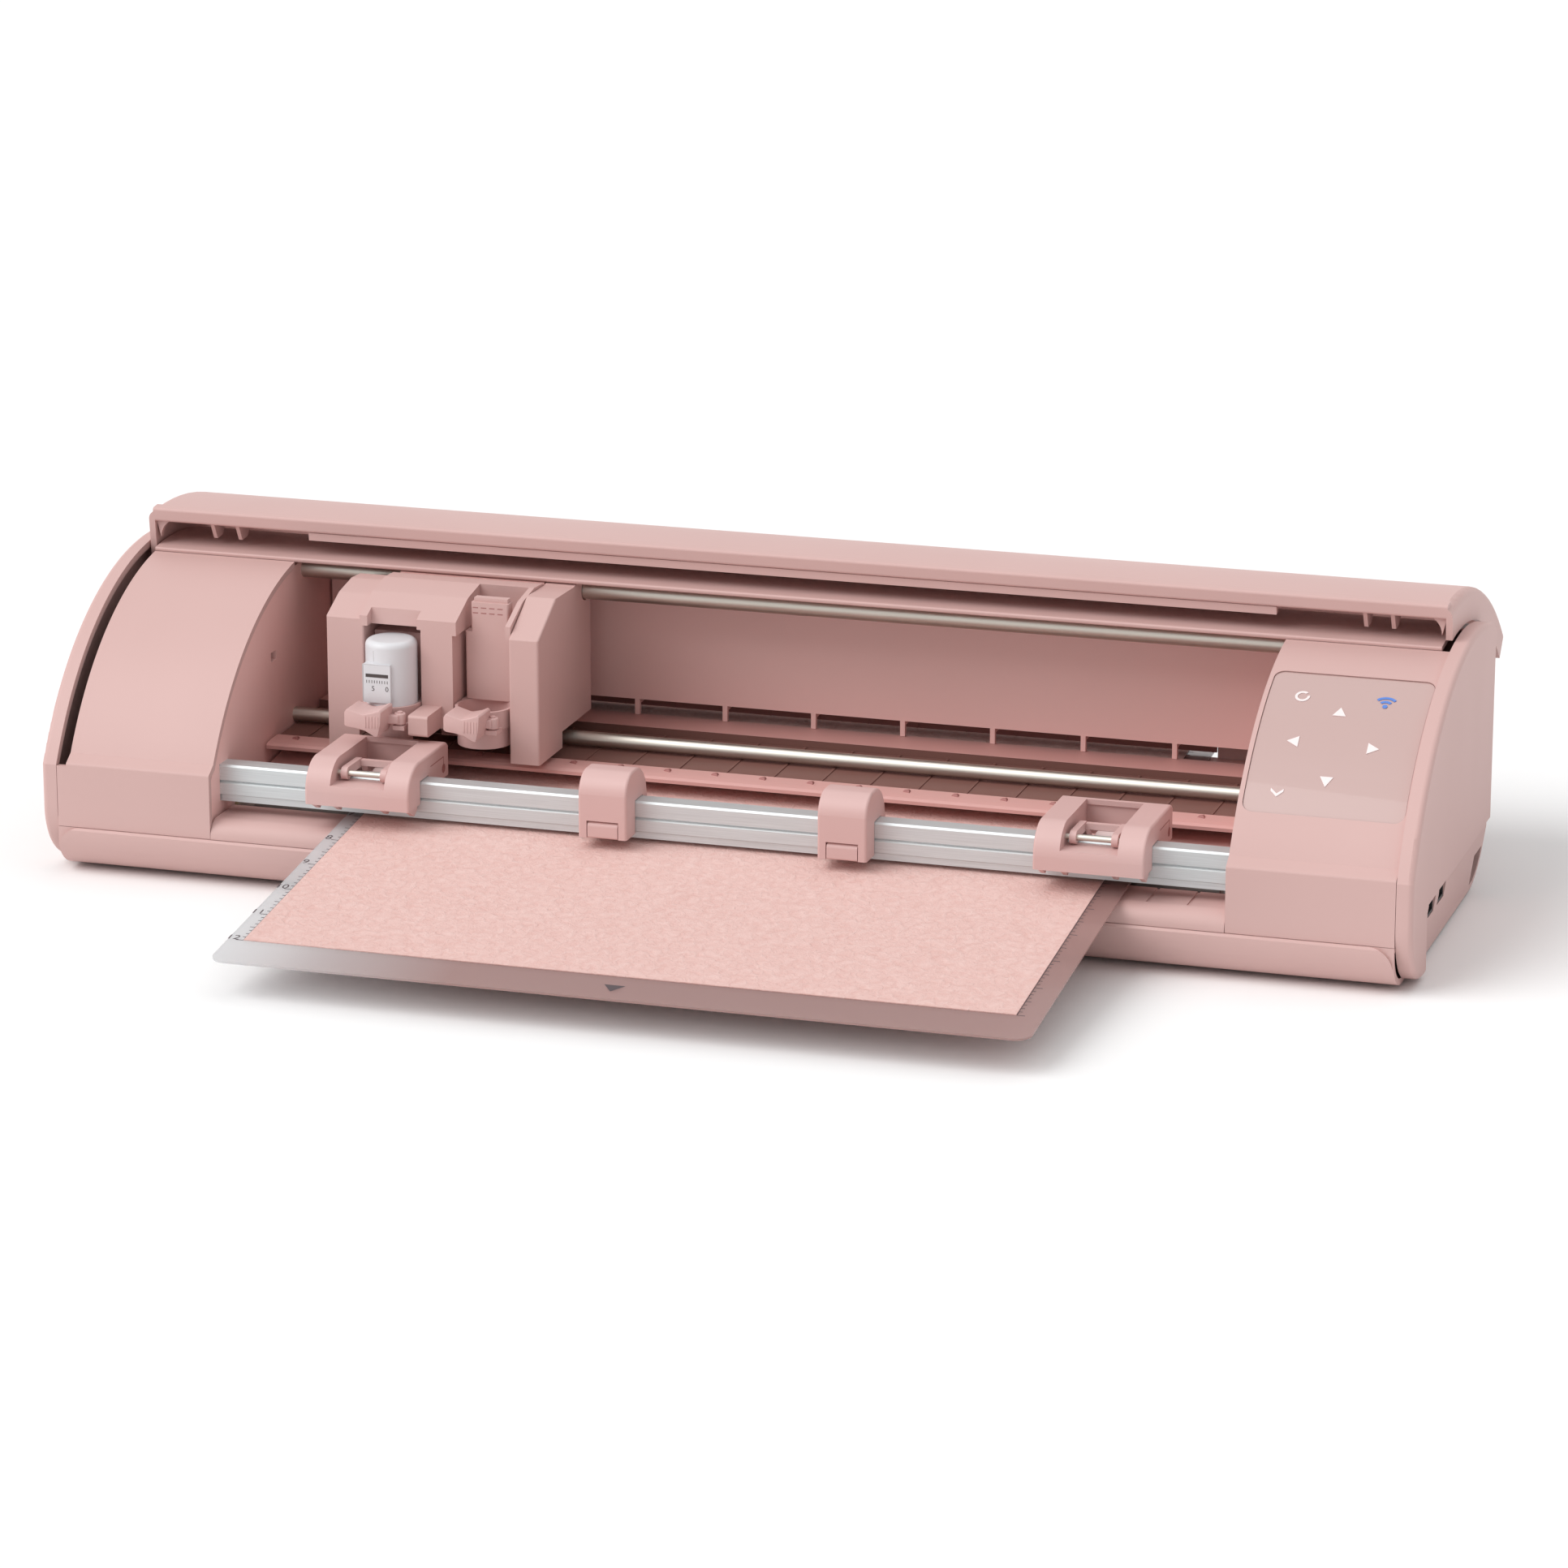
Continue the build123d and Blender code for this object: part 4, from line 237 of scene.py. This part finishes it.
def two_shot_guide():
    """ABS guide: pale marked strip in front, and a brown tray behind it with a worn satin face."""
    made, tree, shader = material("moulded_abs_guide", "#D9A6A0", 0.48, IOR=1.46)
    place = node(tree, "ShaderNodeTexCoord")
    axes = node(tree, "ShaderNodeSeparateXYZ", [("Vector", place.outputs["Object"])])
    behind = node(tree, "ShaderNodeMath", [(0, axes.outputs["Y"])],
                  operation="GREATER_THAN", s_1=(BODY_Y + TRAY_FRONT) * MM)
    inside = node(tree, "ShaderNodeMath", [(0, axes.outputs["Y"])],
                  operation="LESS_THAN", s_1=(BODY_Y + TRAY_BACK) * MM)
    tray = node(tree, "ShaderNodeMath", [(0, behind.outputs["Value"]),
                                         (1, inside.outputs["Value"])], operation="MULTIPLY")
    tone = node(tree, "ShaderNodeMix", [(0, tray.outputs["Value"])], data_type="RGBA",
                s_6=colour("#DBA8A2"), s_7=colour("#805850"))
    grain = node(tree, "ShaderNodeTexNoise", [("Vector", place.outputs["Object"])],
                 s_Scale=per_mm(0.9), s_Detail=3.0)
    bump = node(tree, "ShaderNodeBump", [("Height", grain.outputs["Fac"])],
                s_Strength=0.12, s_Distance=0.06 * MM)
    tree.links.new(bump.outputs["Normal"], shader.inputs["Normal"])
    tree.links.new(tone.outputs[2], shader.inputs["Base Color"])
    return made


# ABS mouldings: even, satin and softly pink; the inner ones are painted paler than the shell, as
# painted light against the shade they stand in
pink_abs = moulded("moulded_abs_shell", "#D4AFAA")
# painted light: the same pink ABS as the shell, given a paler colour so that the shaded inside
# reads brighter
inner_abs_painted_paler = moulded("moulded_abs_inside_painted_paler", "#F8CAC4", 0.5)
guide_abs = two_shot_guide()
small_abs = moulded("moulded_abs_small_parts", "#DAB4B0", 0.42, 0.6)
# metals: clear anodised rail with soft bands, bright shafts, and darker turned parts
rail_metal = drawn_metal("drawn_aluminium", "#E2E7E8", 0.5, 0.35, 0.75)
shaft_steel = drawn_metal("ground_steel", "#DAD4CA", 0.38, 0.25)
dark_steel = drawn_metal("turned_steel", "#8E8A86", 0.3, 0.3)
# acetal: milky white with a broad soft highlight
white_acetal = plain("white_acetal", "#DEDDE0", 0.35, IOR=1.48)
# printed polyester film over the touch keys: flat, with a thin clear gloss
pad_film = plain("printed_touch_film", "#C2A39E", 0.36, 0.8, 0.06, Coat_Weight=0.25)
# screen inks: opaque and dull
white_print = plain("white_print", "#F6E9E8", 0.5)
blue_print = plain("blue_print", "#5B86D6", 0.5)
dark_print = plain("dark_print", "#4A4140", 0.6)
# painted shade, not ink: grey strips along the blade plate's edges and pointer line
painted_edge_shade = plain("painted_shadow_edge", "#C9C6C8", 0.5)
mat_ink = plain("grey_screen_ink", "#4E4246", 0.6)
# recesses in the mouldings: the same plastic, seen dark because little light gets in
shadow_pink = plain("moulded_recess", "#A8706C", 0.6)
# painted shade: a near-black brown for sheets set where an opening shows only shade
deep_painted_shade = plain("deep_recess", "#3A1F1D", 0.8)
# rubbers: dull, with a coarse grain
# painted shade: the rear slot's flap takes a dark rose that stands in for the shade in the
# recessed slot
slot_flap_painted_shade = plain("rear_flap_painted_shade", "#9C6660", 0.7, 0.7, 0.3)
black_rubber = plain("foot_rubber", "#1D1C1C", 0.85, 0.7, 0.3)
grey_rubber = plain("roller_rubber", "#E9D3D0", 0.6, 0.6, 0.25)
# inner drives: black nylon, painted can, oily bronze and green solder mask
black_nylon = plain("black_nylon", "#232122", 0.5, 0.9, 0.2)
motor_can = plain("painted_steel_can", "#34332F", 0.4, 0.9, 0.15, Metallic=0.6)
bronze = plain("sintered_bronze", "#A4835A", 0.4, 0.5, 0.3, Metallic=1.0)
board_green = plain("solder_mask", "#1F5A38", 0.35, 0.9, 0.1)
card = embossed_card()
film = cloudy_film()

FINISH = {
    pink_abs: ("left_end_cap", "right_end_cap", "left_front_panel", "right_front_panel",
               "base_tray", "top_cover", "rear_cover", "front_table", "lid_shell",
               "lid_inner_rib", "carriage_housing", "carriage_side_block", "tool_2_insert"),
    inner_abs_painted_paler: ("left_side_frame", "right_side_frame", "rear_inner_wall", "lower_platen",
                "carriage_frame"),
    guide_abs: ("upper_guide",),
    small_abs: ("tool_1_holder", "tool_2_holder", "tool_1_lever", "tool_2_lever",
                "roller_housing_left", "roller_housing_right", "hold_down_clip_left",
                "hold_down_clip_right", "clip_latch_left", "clip_latch_right",
                "pinch_arm_left", "pinch_arm_right"),
    rail_metal: ("front_rail",),
    shaft_steel: ("guide_shaft", "lower_guide_rod", "pinch_pin_left", "pinch_pin_right"),
    dark_steel: ("grit_roller", "case_screws", "feed_pinion"),
    white_acetal: ("autoblade",),
    pad_film: ("control_pad",),
    white_print: ("control_icons",),
    blue_print: ("wireless_icon",),
    black_rubber: ("rubber_feet", "drive_belt"),
    grey_rubber: ("pinch_roller_left", "pinch_roller_right"),
    black_nylon: ("feed_gear", "motor_pulley", "idler_pulley", "cutting_strip", "usb_socket",
                  "power_socket"),
    motor_can: ("feed_motor", "carriage_motor"),
    bronze: ("carriage_bushes", "roller_bushes"),
    board_green: ("main_board",),
    film: ("cutting_mat",),
    card: ("card_sheet",),
}
for finish, names in FINISH.items():
    for name in names:
        piece = frame["nodes"][name]
        piece.data.materials.clear()
        piece.data.materials.append(finish)


# ------------------------------------------------------------------ making new pieces
def place_piece(shape, name, body, finish, soften=0.0):
    """Close a bmesh drawn in millimetres and hang it on its body, with an optional soft edge."""
    bmesh.ops.remove_doubles(shape, verts=shape.verts, dist=1e-4)
    bmesh.ops.recalc_face_normals(shape, faces=shape.faces)
    bmesh.ops.scale(shape, vec=(MM, MM, MM), verts=shape.verts)
    mesh = bpy.data.meshes.new(name)
    shape.to_mesh(mesh)
    shape.free()
    mesh.materials.append(finish)
    piece = bpy.data.objects.new(name, mesh)
    bpy.context.scene.collection.objects.link(piece)
    if soften:
        edge = piece.modifiers.new("soft_edge", "BEVEL")
        edge.width = soften * MM
        edge.segments = 3
        edge.limit_method = "ANGLE"
    for face in mesh.polygons:
        face.use_smooth = bool(soften)
    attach(piece, body)
    return piece


def slab(shape, low_corner, high_corner, turn=Matrix()):
    """Add a box between two corners in millimetres, then turn it."""
    a, b = Vector(low_corner), Vector(high_corner)
    size = Matrix.Diagonal((*(b - a), 1.0))
    bmesh.ops.create_cube(shape, size=1.0, matrix=turn @ Matrix.Translation((a + b) / 2) @ size)


def lettering(shape, text, height, turn):
    """Add flat numerals, raised a hair, facing along the turned +Z."""
    curve = bpy.data.curves.new("numerals", "FONT")
    curve.body = text
    curve.size = height
    curve.align_x = "CENTER"
    curve.align_y = "CENTER"
    curve.extrude = 0.01
    holder = bpy.data.objects.new("numerals", curve)
    bpy.context.scene.collection.objects.link(holder)
    bpy.context.view_layer.update()
    flat = bpy.data.meshes.new_from_object(holder)
    flat.transform(turn)
    shape.from_mesh(flat)
    bpy.data.objects.remove(holder)
    bpy.data.meshes.remove(flat)


# ------------------------------------------------------------------ print on the cutting mat
MAT_THICK = 0.8
INCH = 25.4
INK = 0.03
ARROW_X, ARROW_HALF = 3.0, 4.2
ARROW_TIP, ARROW_BACK = 6.8, 12.6


def mat_frame():
    """From the mat's own plane: x right, y up the slope from its front edge, z off its back."""
    corner = low("cutting_mat")
    front = Vector((0, corner.y + MAT_THICK * math.sin(TILT), corner.z))
    return Matrix.Translation(front) @ Matrix.Rotation(TILT, 4, "X")


def mat_print():
    """Ruler down both borders, inch numerals at the left and a loading arrow in front."""
    frame_of_mat = mat_frame()
    left, right = low("card_sheet").x, high("card_sheet").x
    start = (low("card_sheet").y - low("cutting_mat").y) / math.cos(TILT)
    marks = bmesh.new()
    top = MAT_THICK + 0.02
    printed = top + INK
    for eighth in range(97):
        length = 3.0 if eighth % 8 == 0 else 2.1 if eighth % 4 == 0 else 1.3
        along = start + eighth * INCH / 8
        for edge, way in ((left, -1), (right, 1)):
            x0, x1 = sorted((edge + way * 0.3, edge + way * (0.3 + length)))
            slab(marks, (x0, along - 0.2, top), (x1, along + 0.2, printed), frame_of_mat)
    for line in (left - 0.25, right + 0.25):
        slab(marks, (line - 0.1, start, top), (line + 0.1, start + 12 * INCH, printed),
             frame_of_mat)
    for count in range(1, 13):
        along = start + (12 - count) * INCH + 0.4
        place = Matrix.Translation((left - 5.0, along + 1.6, top + 0.02))
        lettering(marks, str(count), 5.6, frame_of_mat @ place)
    arrow = [marks.verts.new(frame_of_mat @ Vector(corner)) for corner in (
        (ARROW_X - ARROW_HALF, ARROW_BACK, printed), (ARROW_X, ARROW_TIP, printed),
        (ARROW_X + ARROW_HALF, ARROW_BACK, printed))]
    marks.faces.new(arrow)
    place_piece(marks, "mat_ruler_print", "mat", mat_ink)


# ------------------------------------------------------------------ self-setting blade's scale
BLADE_R = 10.5
# middle of the blade's tool holder, from the body's middle
BLADE_DEPTH = -26.0
# front plate of the blade: its left and right edges from the blade's axis, its foot and its top
PLATE_LEFT, PLATE_RIGHT = -8.4, 3.7
PLATE_FOOT, PLATE_TOP = 70.4, 85.6
EDGE_WIDTH = 0.25


def blade_scale():
    """Dark slot, ticks and numerals on the white blade's plate, and grey strips of painted shade
    along the plate's edges and the pointer line.
    """
    front = low("autoblade").y
    x = middle("autoblade").x
    facing = Matrix.Translation((0, front - 0.02, 0)) @ Matrix.Rotation(math.pi / 2, 4, "X")
    marks = bmesh.new()
    slab(marks, (x - 7.0, 80.6, 0), (x + 2.6, 82.0, 0.05), facing)
    for tick in range(9):
        at = x - 6.6 + tick * 1.1
        slab(marks, (at - 0.12, 78.2, 0), (at + 0.12, 79.4, 0.05), facing)
    for text, at in (("5", -3.9), ("0", 2.0)):
        lettering(marks, text, 2.9, facing @ Matrix.Translation((x + at, 75.9, 0.03)))
    place_piece(marks, "blade_scale_print", "tool_1", dark_print)
    painted_shade_strips = bmesh.new()
    # pointer line on the round body above the plate, a grey strip of painted shade
    reach = math.sqrt(BLADE_R ** 2 - 4.0 ** 2)
    body_front = BODY_Y + BLADE_DEPTH - reach
    slab(painted_shade_strips, (x - 4.15, body_front - 0.06, 86.8), (x - 3.85, body_front + 0.4, 91.2))
    # grey strips of painted shade along the plate's left, right and top edges
    outer, inner = front - 0.04, front + 0.3
    slab(painted_shade_strips, (x + PLATE_LEFT, outer, PLATE_FOOT),
         (x + PLATE_LEFT + EDGE_WIDTH, inner, PLATE_TOP))
    slab(painted_shade_strips, (x + PLATE_RIGHT - EDGE_WIDTH, outer, PLATE_FOOT),
         (x + PLATE_RIGHT, inner, PLATE_TOP))
    slab(painted_shade_strips, (x + PLATE_LEFT, outer, PLATE_TOP + 0.1),
         (x + PLATE_RIGHT, inner, PLATE_TOP + 0.3))
    place_piece(painted_shade_strips, "blade_plate_edges", "tool_1", painted_edge_shade)


# ------------------------------------------------------------------ lock levers' thumb tabs
# outline of a thumb tab as seen from in front, in shares of its width and height
TAB_SIDE = ((0.0, 0.36), (0.0, 0.84), (0.07, 0.98), (0.2, 0.92), (0.5, 0.8), (0.78, 0.9),
            (0.94, 1.0), (1.0, 0.94), (0.97, 0.46), (0.9, 0.02), (0.82, 0.0), (0.56, 0.2),
            (0.28, 0.28), (0.08, 0.3))
TAB_FLOOR, TAB_TOP = 60.2, 71.2
# knurl: width of a rib and the distance between ribs
RIB, RIB_PITCH = 0.55, 1.3
EYE_R = 2.4


def thumb_tab(number, left, right, front, back):
    """Saddle-shaped tab: hollow on top, beaked below, with a bar back to the lever's pin."""
    lever = f"tool_{number}_lever"
    tab = bmesh.new()
    rim = [tab.verts.new((left + (right - left) * u, front,
                          TAB_FLOOR + (TAB_TOP - TAB_FLOOR) * v)) for u, v in TAB_SIDE]
    side = tab.faces.new(rim)
    made = bmesh.ops.extrude_face_region(tab, geom=[side])
    rear = [v for v in made["geom"] if isinstance(v, bmesh.types.BMVert)]
    bmesh.ops.translate(tab, vec=(0.6, back - front, 0.4), verts=rear)
    # shallow upright ribs over the right half of the front
    x = left + 0.56 * (right - left)
    while x < right - 1.4:
        slab(tab, (x, front - 0.25, TAB_FLOOR + 3.4), (x + RIB, front + 1.0, TAB_TOP - 2.6))
        x += RIB_PITCH
    place_piece(tab, f"lever_{number}_thumb_tab", f"lever_{number}", small_abs,
                soften=0.8)
    bar = bmesh.new()
    pin_x = high(lever).x - 2.5
    pin_y = back - 0.2
    slab(bar, ((left + right) / 2, back - 3.6, low(lever).z + 0.6),
         (pin_x + 0.4, back - 0.4, low(lever).z + 4.2))
    # eye around the lever's pin
    bmesh.ops.create_cone(bar, cap_ends=True, segments=24, radius1=EYE_R, radius2=EYE_R, depth=4.6,
                          matrix=Matrix.Translation((pin_x, pin_y, low(lever).z + 2.3)))
    bar_piece = place_piece(bar, f"lever_{number}_bar", f"lever_{number}", small_abs,
                            soften=0.5)
    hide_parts(lever)


# ------------------------------------------------------------------ small marks and openings
def insert_slots():
    """Two dashed slots across the head of the second tool's insert."""
    slots = bmesh.new()
    front = low("tool_2_insert").y
    x = middle("tool_2_insert").x
    for z in (104.4, 106.6):
        for step in range(4):
            start = x - 6.6 + step * 3.5
            slab(slots, (start, front - 0.04, z), (start + 2.3, front + 0.4, z + 0.45))
    place_piece(slots, "insert_head_slots", "tool_2", shadow_pink)


# pointers on the guide's front strip: their row from the body's middle, and the strip's top
POINTER_ROW = -10.5
STRIP_TOP = 43.9
POINTER_PITCH = 20


def guide_marks():
    """Small raised pointers every 20 mm along the guide's front strip."""
    marks = bmesh.new()
    half = high("upper_guide").x - 10
    x = -half
    while x < half:
        tip = (Matrix.Translation((x, BODY_Y + POINTER_ROW, STRIP_TOP + 0.5)) @
               Matrix.Rotation(-0.4, 4, "Z"))
        bmesh.ops.create_cone(marks, cap_ends=True, segments=3, radius1=2.2, radius2=1.2,
                              depth=1.0, matrix=tip)
        x += POINTER_PITCH
    place_piece(marks, "guide_strip_marks", "chassis", shadow_pink, soften=0.15)


# rubber flap in the rear slot, its dark rose painted shade of the recessed slot: half its length,
# its lower and upper edges, and its ribs' spacing
FLAP_HALF = 168.0
FLAP_LOW, FLAP_HIGH = 46.0, 52.9
FLAP_RIB_PITCH = 21.0


def rear_flap():
    """Thin ribbed rubber flap that closes the mat's way out, down to just over the mat, painted
    dark rose as the slot's shade.
    """
    flap = bmesh.new()
    slab(flap, (-FLAP_HALF, BODY_Y + 74.0, FLAP_LOW), (FLAP_HALF, BODY_Y + 75.0, FLAP_HIGH))
    for rib in range(-7, 8):
        slab(flap, (rib * FLAP_RIB_PITCH - 0.3, BODY_Y + 73.6, FLAP_LOW),
             (rib * FLAP_RIB_PITCH + 0.3, BODY_Y + 75.2, FLAP_HIGH))
    place_piece(flap, "rear_slot_flap", "chassis", slot_flap_painted_shade)


def frame_opening():
    """Dark back for the opening in the left frame beside the parked carriage: a sheet painted dark
    as painted shade.
    """
    dark = bmesh.new()
    wall = high("left_side_frame").x
    slab(dark, (wall - 3.2, BODY_Y - 9.6, 74.4), (wall - 2.6, BODY_Y - 2.4, 79.6))
    place_piece(dark, "left_frame_opening_back", "chassis", deep_painted_shade)


def hinge_lines():
    """Split line and pivot eye moulded into the right cheek of each roller unit."""
    for side in ("left", "right"):
        housing = f"roller_housing_{side}"
        x = high(housing).x
        back = high(housing).y
        lines = bmesh.new()
        # the split runs back along the cheek and down beside the eye
        slab(lines, (x - 0.3, back - 20.0, 50.6), (x + 0.05, back - 5.0, 51.0))
        slab(lines, (x - 0.3, back - 5.4, 44.6), (x + 0.05, back - 5.0, 51.0))
        for radius in (1.9, 1.0):
            bmesh.ops.create_cone(
                lines, cap_ends=True, segments=20, radius1=radius, radius2=radius, depth=0.5,
                matrix=Matrix.Translation((x - 0.2 + 0.08 * (1.9 - radius), back - 5.2, 46.0)) @
                Matrix.Rotation(math.pi / 2, 4, "Y"))
        place_piece(lines, f"roller_unit_{side}_split", f"roller_unit_{side}", shadow_pink)


# lid's outer radius about its hinge, and how far round its front edge stands when it is open
LID_R = 143.5
LID_EDGE = math.radians(-5.4)
LID_WALL = 2.4


def lid_corners():
    """Webs that round off the lid's mouth at both ends."""
    for side, sign in (("left", -1), ("right", 1)):
        web = bmesh.new()
        end = sign * (high("lid_shell").x - LID_WALL)
        y = HINGE.y + (LID_R - 3) * math.sin(LID_EDGE)
        z = HINGE.z + (LID_R - 3.6) * math.cos(LID_EDGE)
        centre = Vector((end - sign * 10, y, z - 8.0))
        arc = [web.verts.new((end - sign * 10, y, z))]
        bmesh.ops.spin(web, geom=arc, cent=centre, axis=(0, 1, 0), steps=8,
                       angle=sign * math.pi / 2)
        corner = web.verts.new((end + sign * 0.2, y, z + 0.4))
        for edge in list(web.edges):
            web.faces.new((*edge.verts, corner))
        made = bmesh.ops.extrude_face_region(web, geom=list(web.faces))
        bmesh.ops.translate(web, vec=(0, LID_WALL, 0),
                            verts=[v for v in made["geom"] if isinstance(v, bmesh.types.BMVert)])
        place_piece(web, f"lid_mouth_corner_{side}", "lid", pink_abs)


mat_print()
blade_scale()
thumb_tab(1, -160.5, -144.8, BODY_Y - 52.0, BODY_Y - 40.0)
thumb_tab(2, -120.0, -104.8, BODY_Y - 47.5, BODY_Y - 35.5)
insert_slots()
guide_marks()
rear_flap()
frame_opening()
hinge_lines()
lid_corners()


# ------------------------------------------------------------------ studio
def studio():
    """White floor and surround, a soft key from the upper left front and a softer top lamp."""
    scene = bpy.context.scene
    scene.view_settings.view_transform = "Standard"

    world = bpy.data.worlds.new("white_surround")
    scene.world = world
    world.use_nodes = True
    tree = world.node_tree
    # what lights the object is weaker than what the camera, gloss and glass see behind it
    lit = tree.nodes["Background"]
    lit.inputs["Color"].default_value = (1, 1, 1, 1)
    lit.inputs["Strength"].default_value = 0.5
    seen = node(tree, "ShaderNodeBackground", s_Color=(1, 1, 1, 1), s_Strength=1.0)
    path = node(tree, "ShaderNodeLightPath")
    direct = node(tree, "ShaderNodeMath", [(0, path.outputs["Is Camera Ray"]),
                                           (1, path.outputs["Is Glossy Ray"])],
                  operation="MAXIMUM")
    any_seen = node(tree, "ShaderNodeMath", [(0, direct.outputs["Value"]),
                                             (1, path.outputs["Is Transmission Ray"])],
                    operation="MAXIMUM")
    choose = node(tree, "ShaderNodeMixShader", [
        (0, any_seen.outputs["Value"]), (1, lit.outputs["Background"]),
        (2, seen.outputs["Background"])])
    tree.links.new(choose.outputs["Shader"], tree.nodes["World Output"].inputs["Surface"])

    # seamless white paper: no gloss, only the object's shadow
    paper = material("white_paper", "#FDFDFD", 0.95, Specular_IOR_Level=0.0)[0]
    bpy.ops.mesh.primitive_plane_add(size=40.0, location=(0, 0, 0))
    floor = bpy.context.object
    floor.name = "studio_floor"
    floor.data.materials.append(paper)

    for name, toward, spread, power in (
            ("key_softbox", (-0.6, -0.5, 0.8), 48, 1.85),
            ("top_softbox", (0.25, 0.2, 1.0), 70, 0.5)):
        lamp = bpy.data.lights.new(name, "SUN")
        lamp.angle = math.radians(spread)
        lamp.energy = power
        holder = bpy.data.objects.new(name, lamp)
        holder.location = Vector(toward) * 2
        holder.rotation_euler = (-Vector(toward)).to_track_quat("-Z", "Y").to_euler()
        scene.collection.objects.link(holder)

    turn, lift = math.radians(17.2), math.radians(16.3)
    lens = bpy.data.cameras.new("three_quarter_view")
    lens.lens = 141.6
    lens.sensor_width = 36
    camera = bpy.data.objects.new("three_quarter_view", lens)
    camera.location = (0.7099, -2.2688 + BODY_Y * MM, 0.7341)
    camera.rotation_euler = (math.pi / 2 - lift, 0, turn)
    scene.collection.objects.link(camera)
    scene.camera = camera


studio()
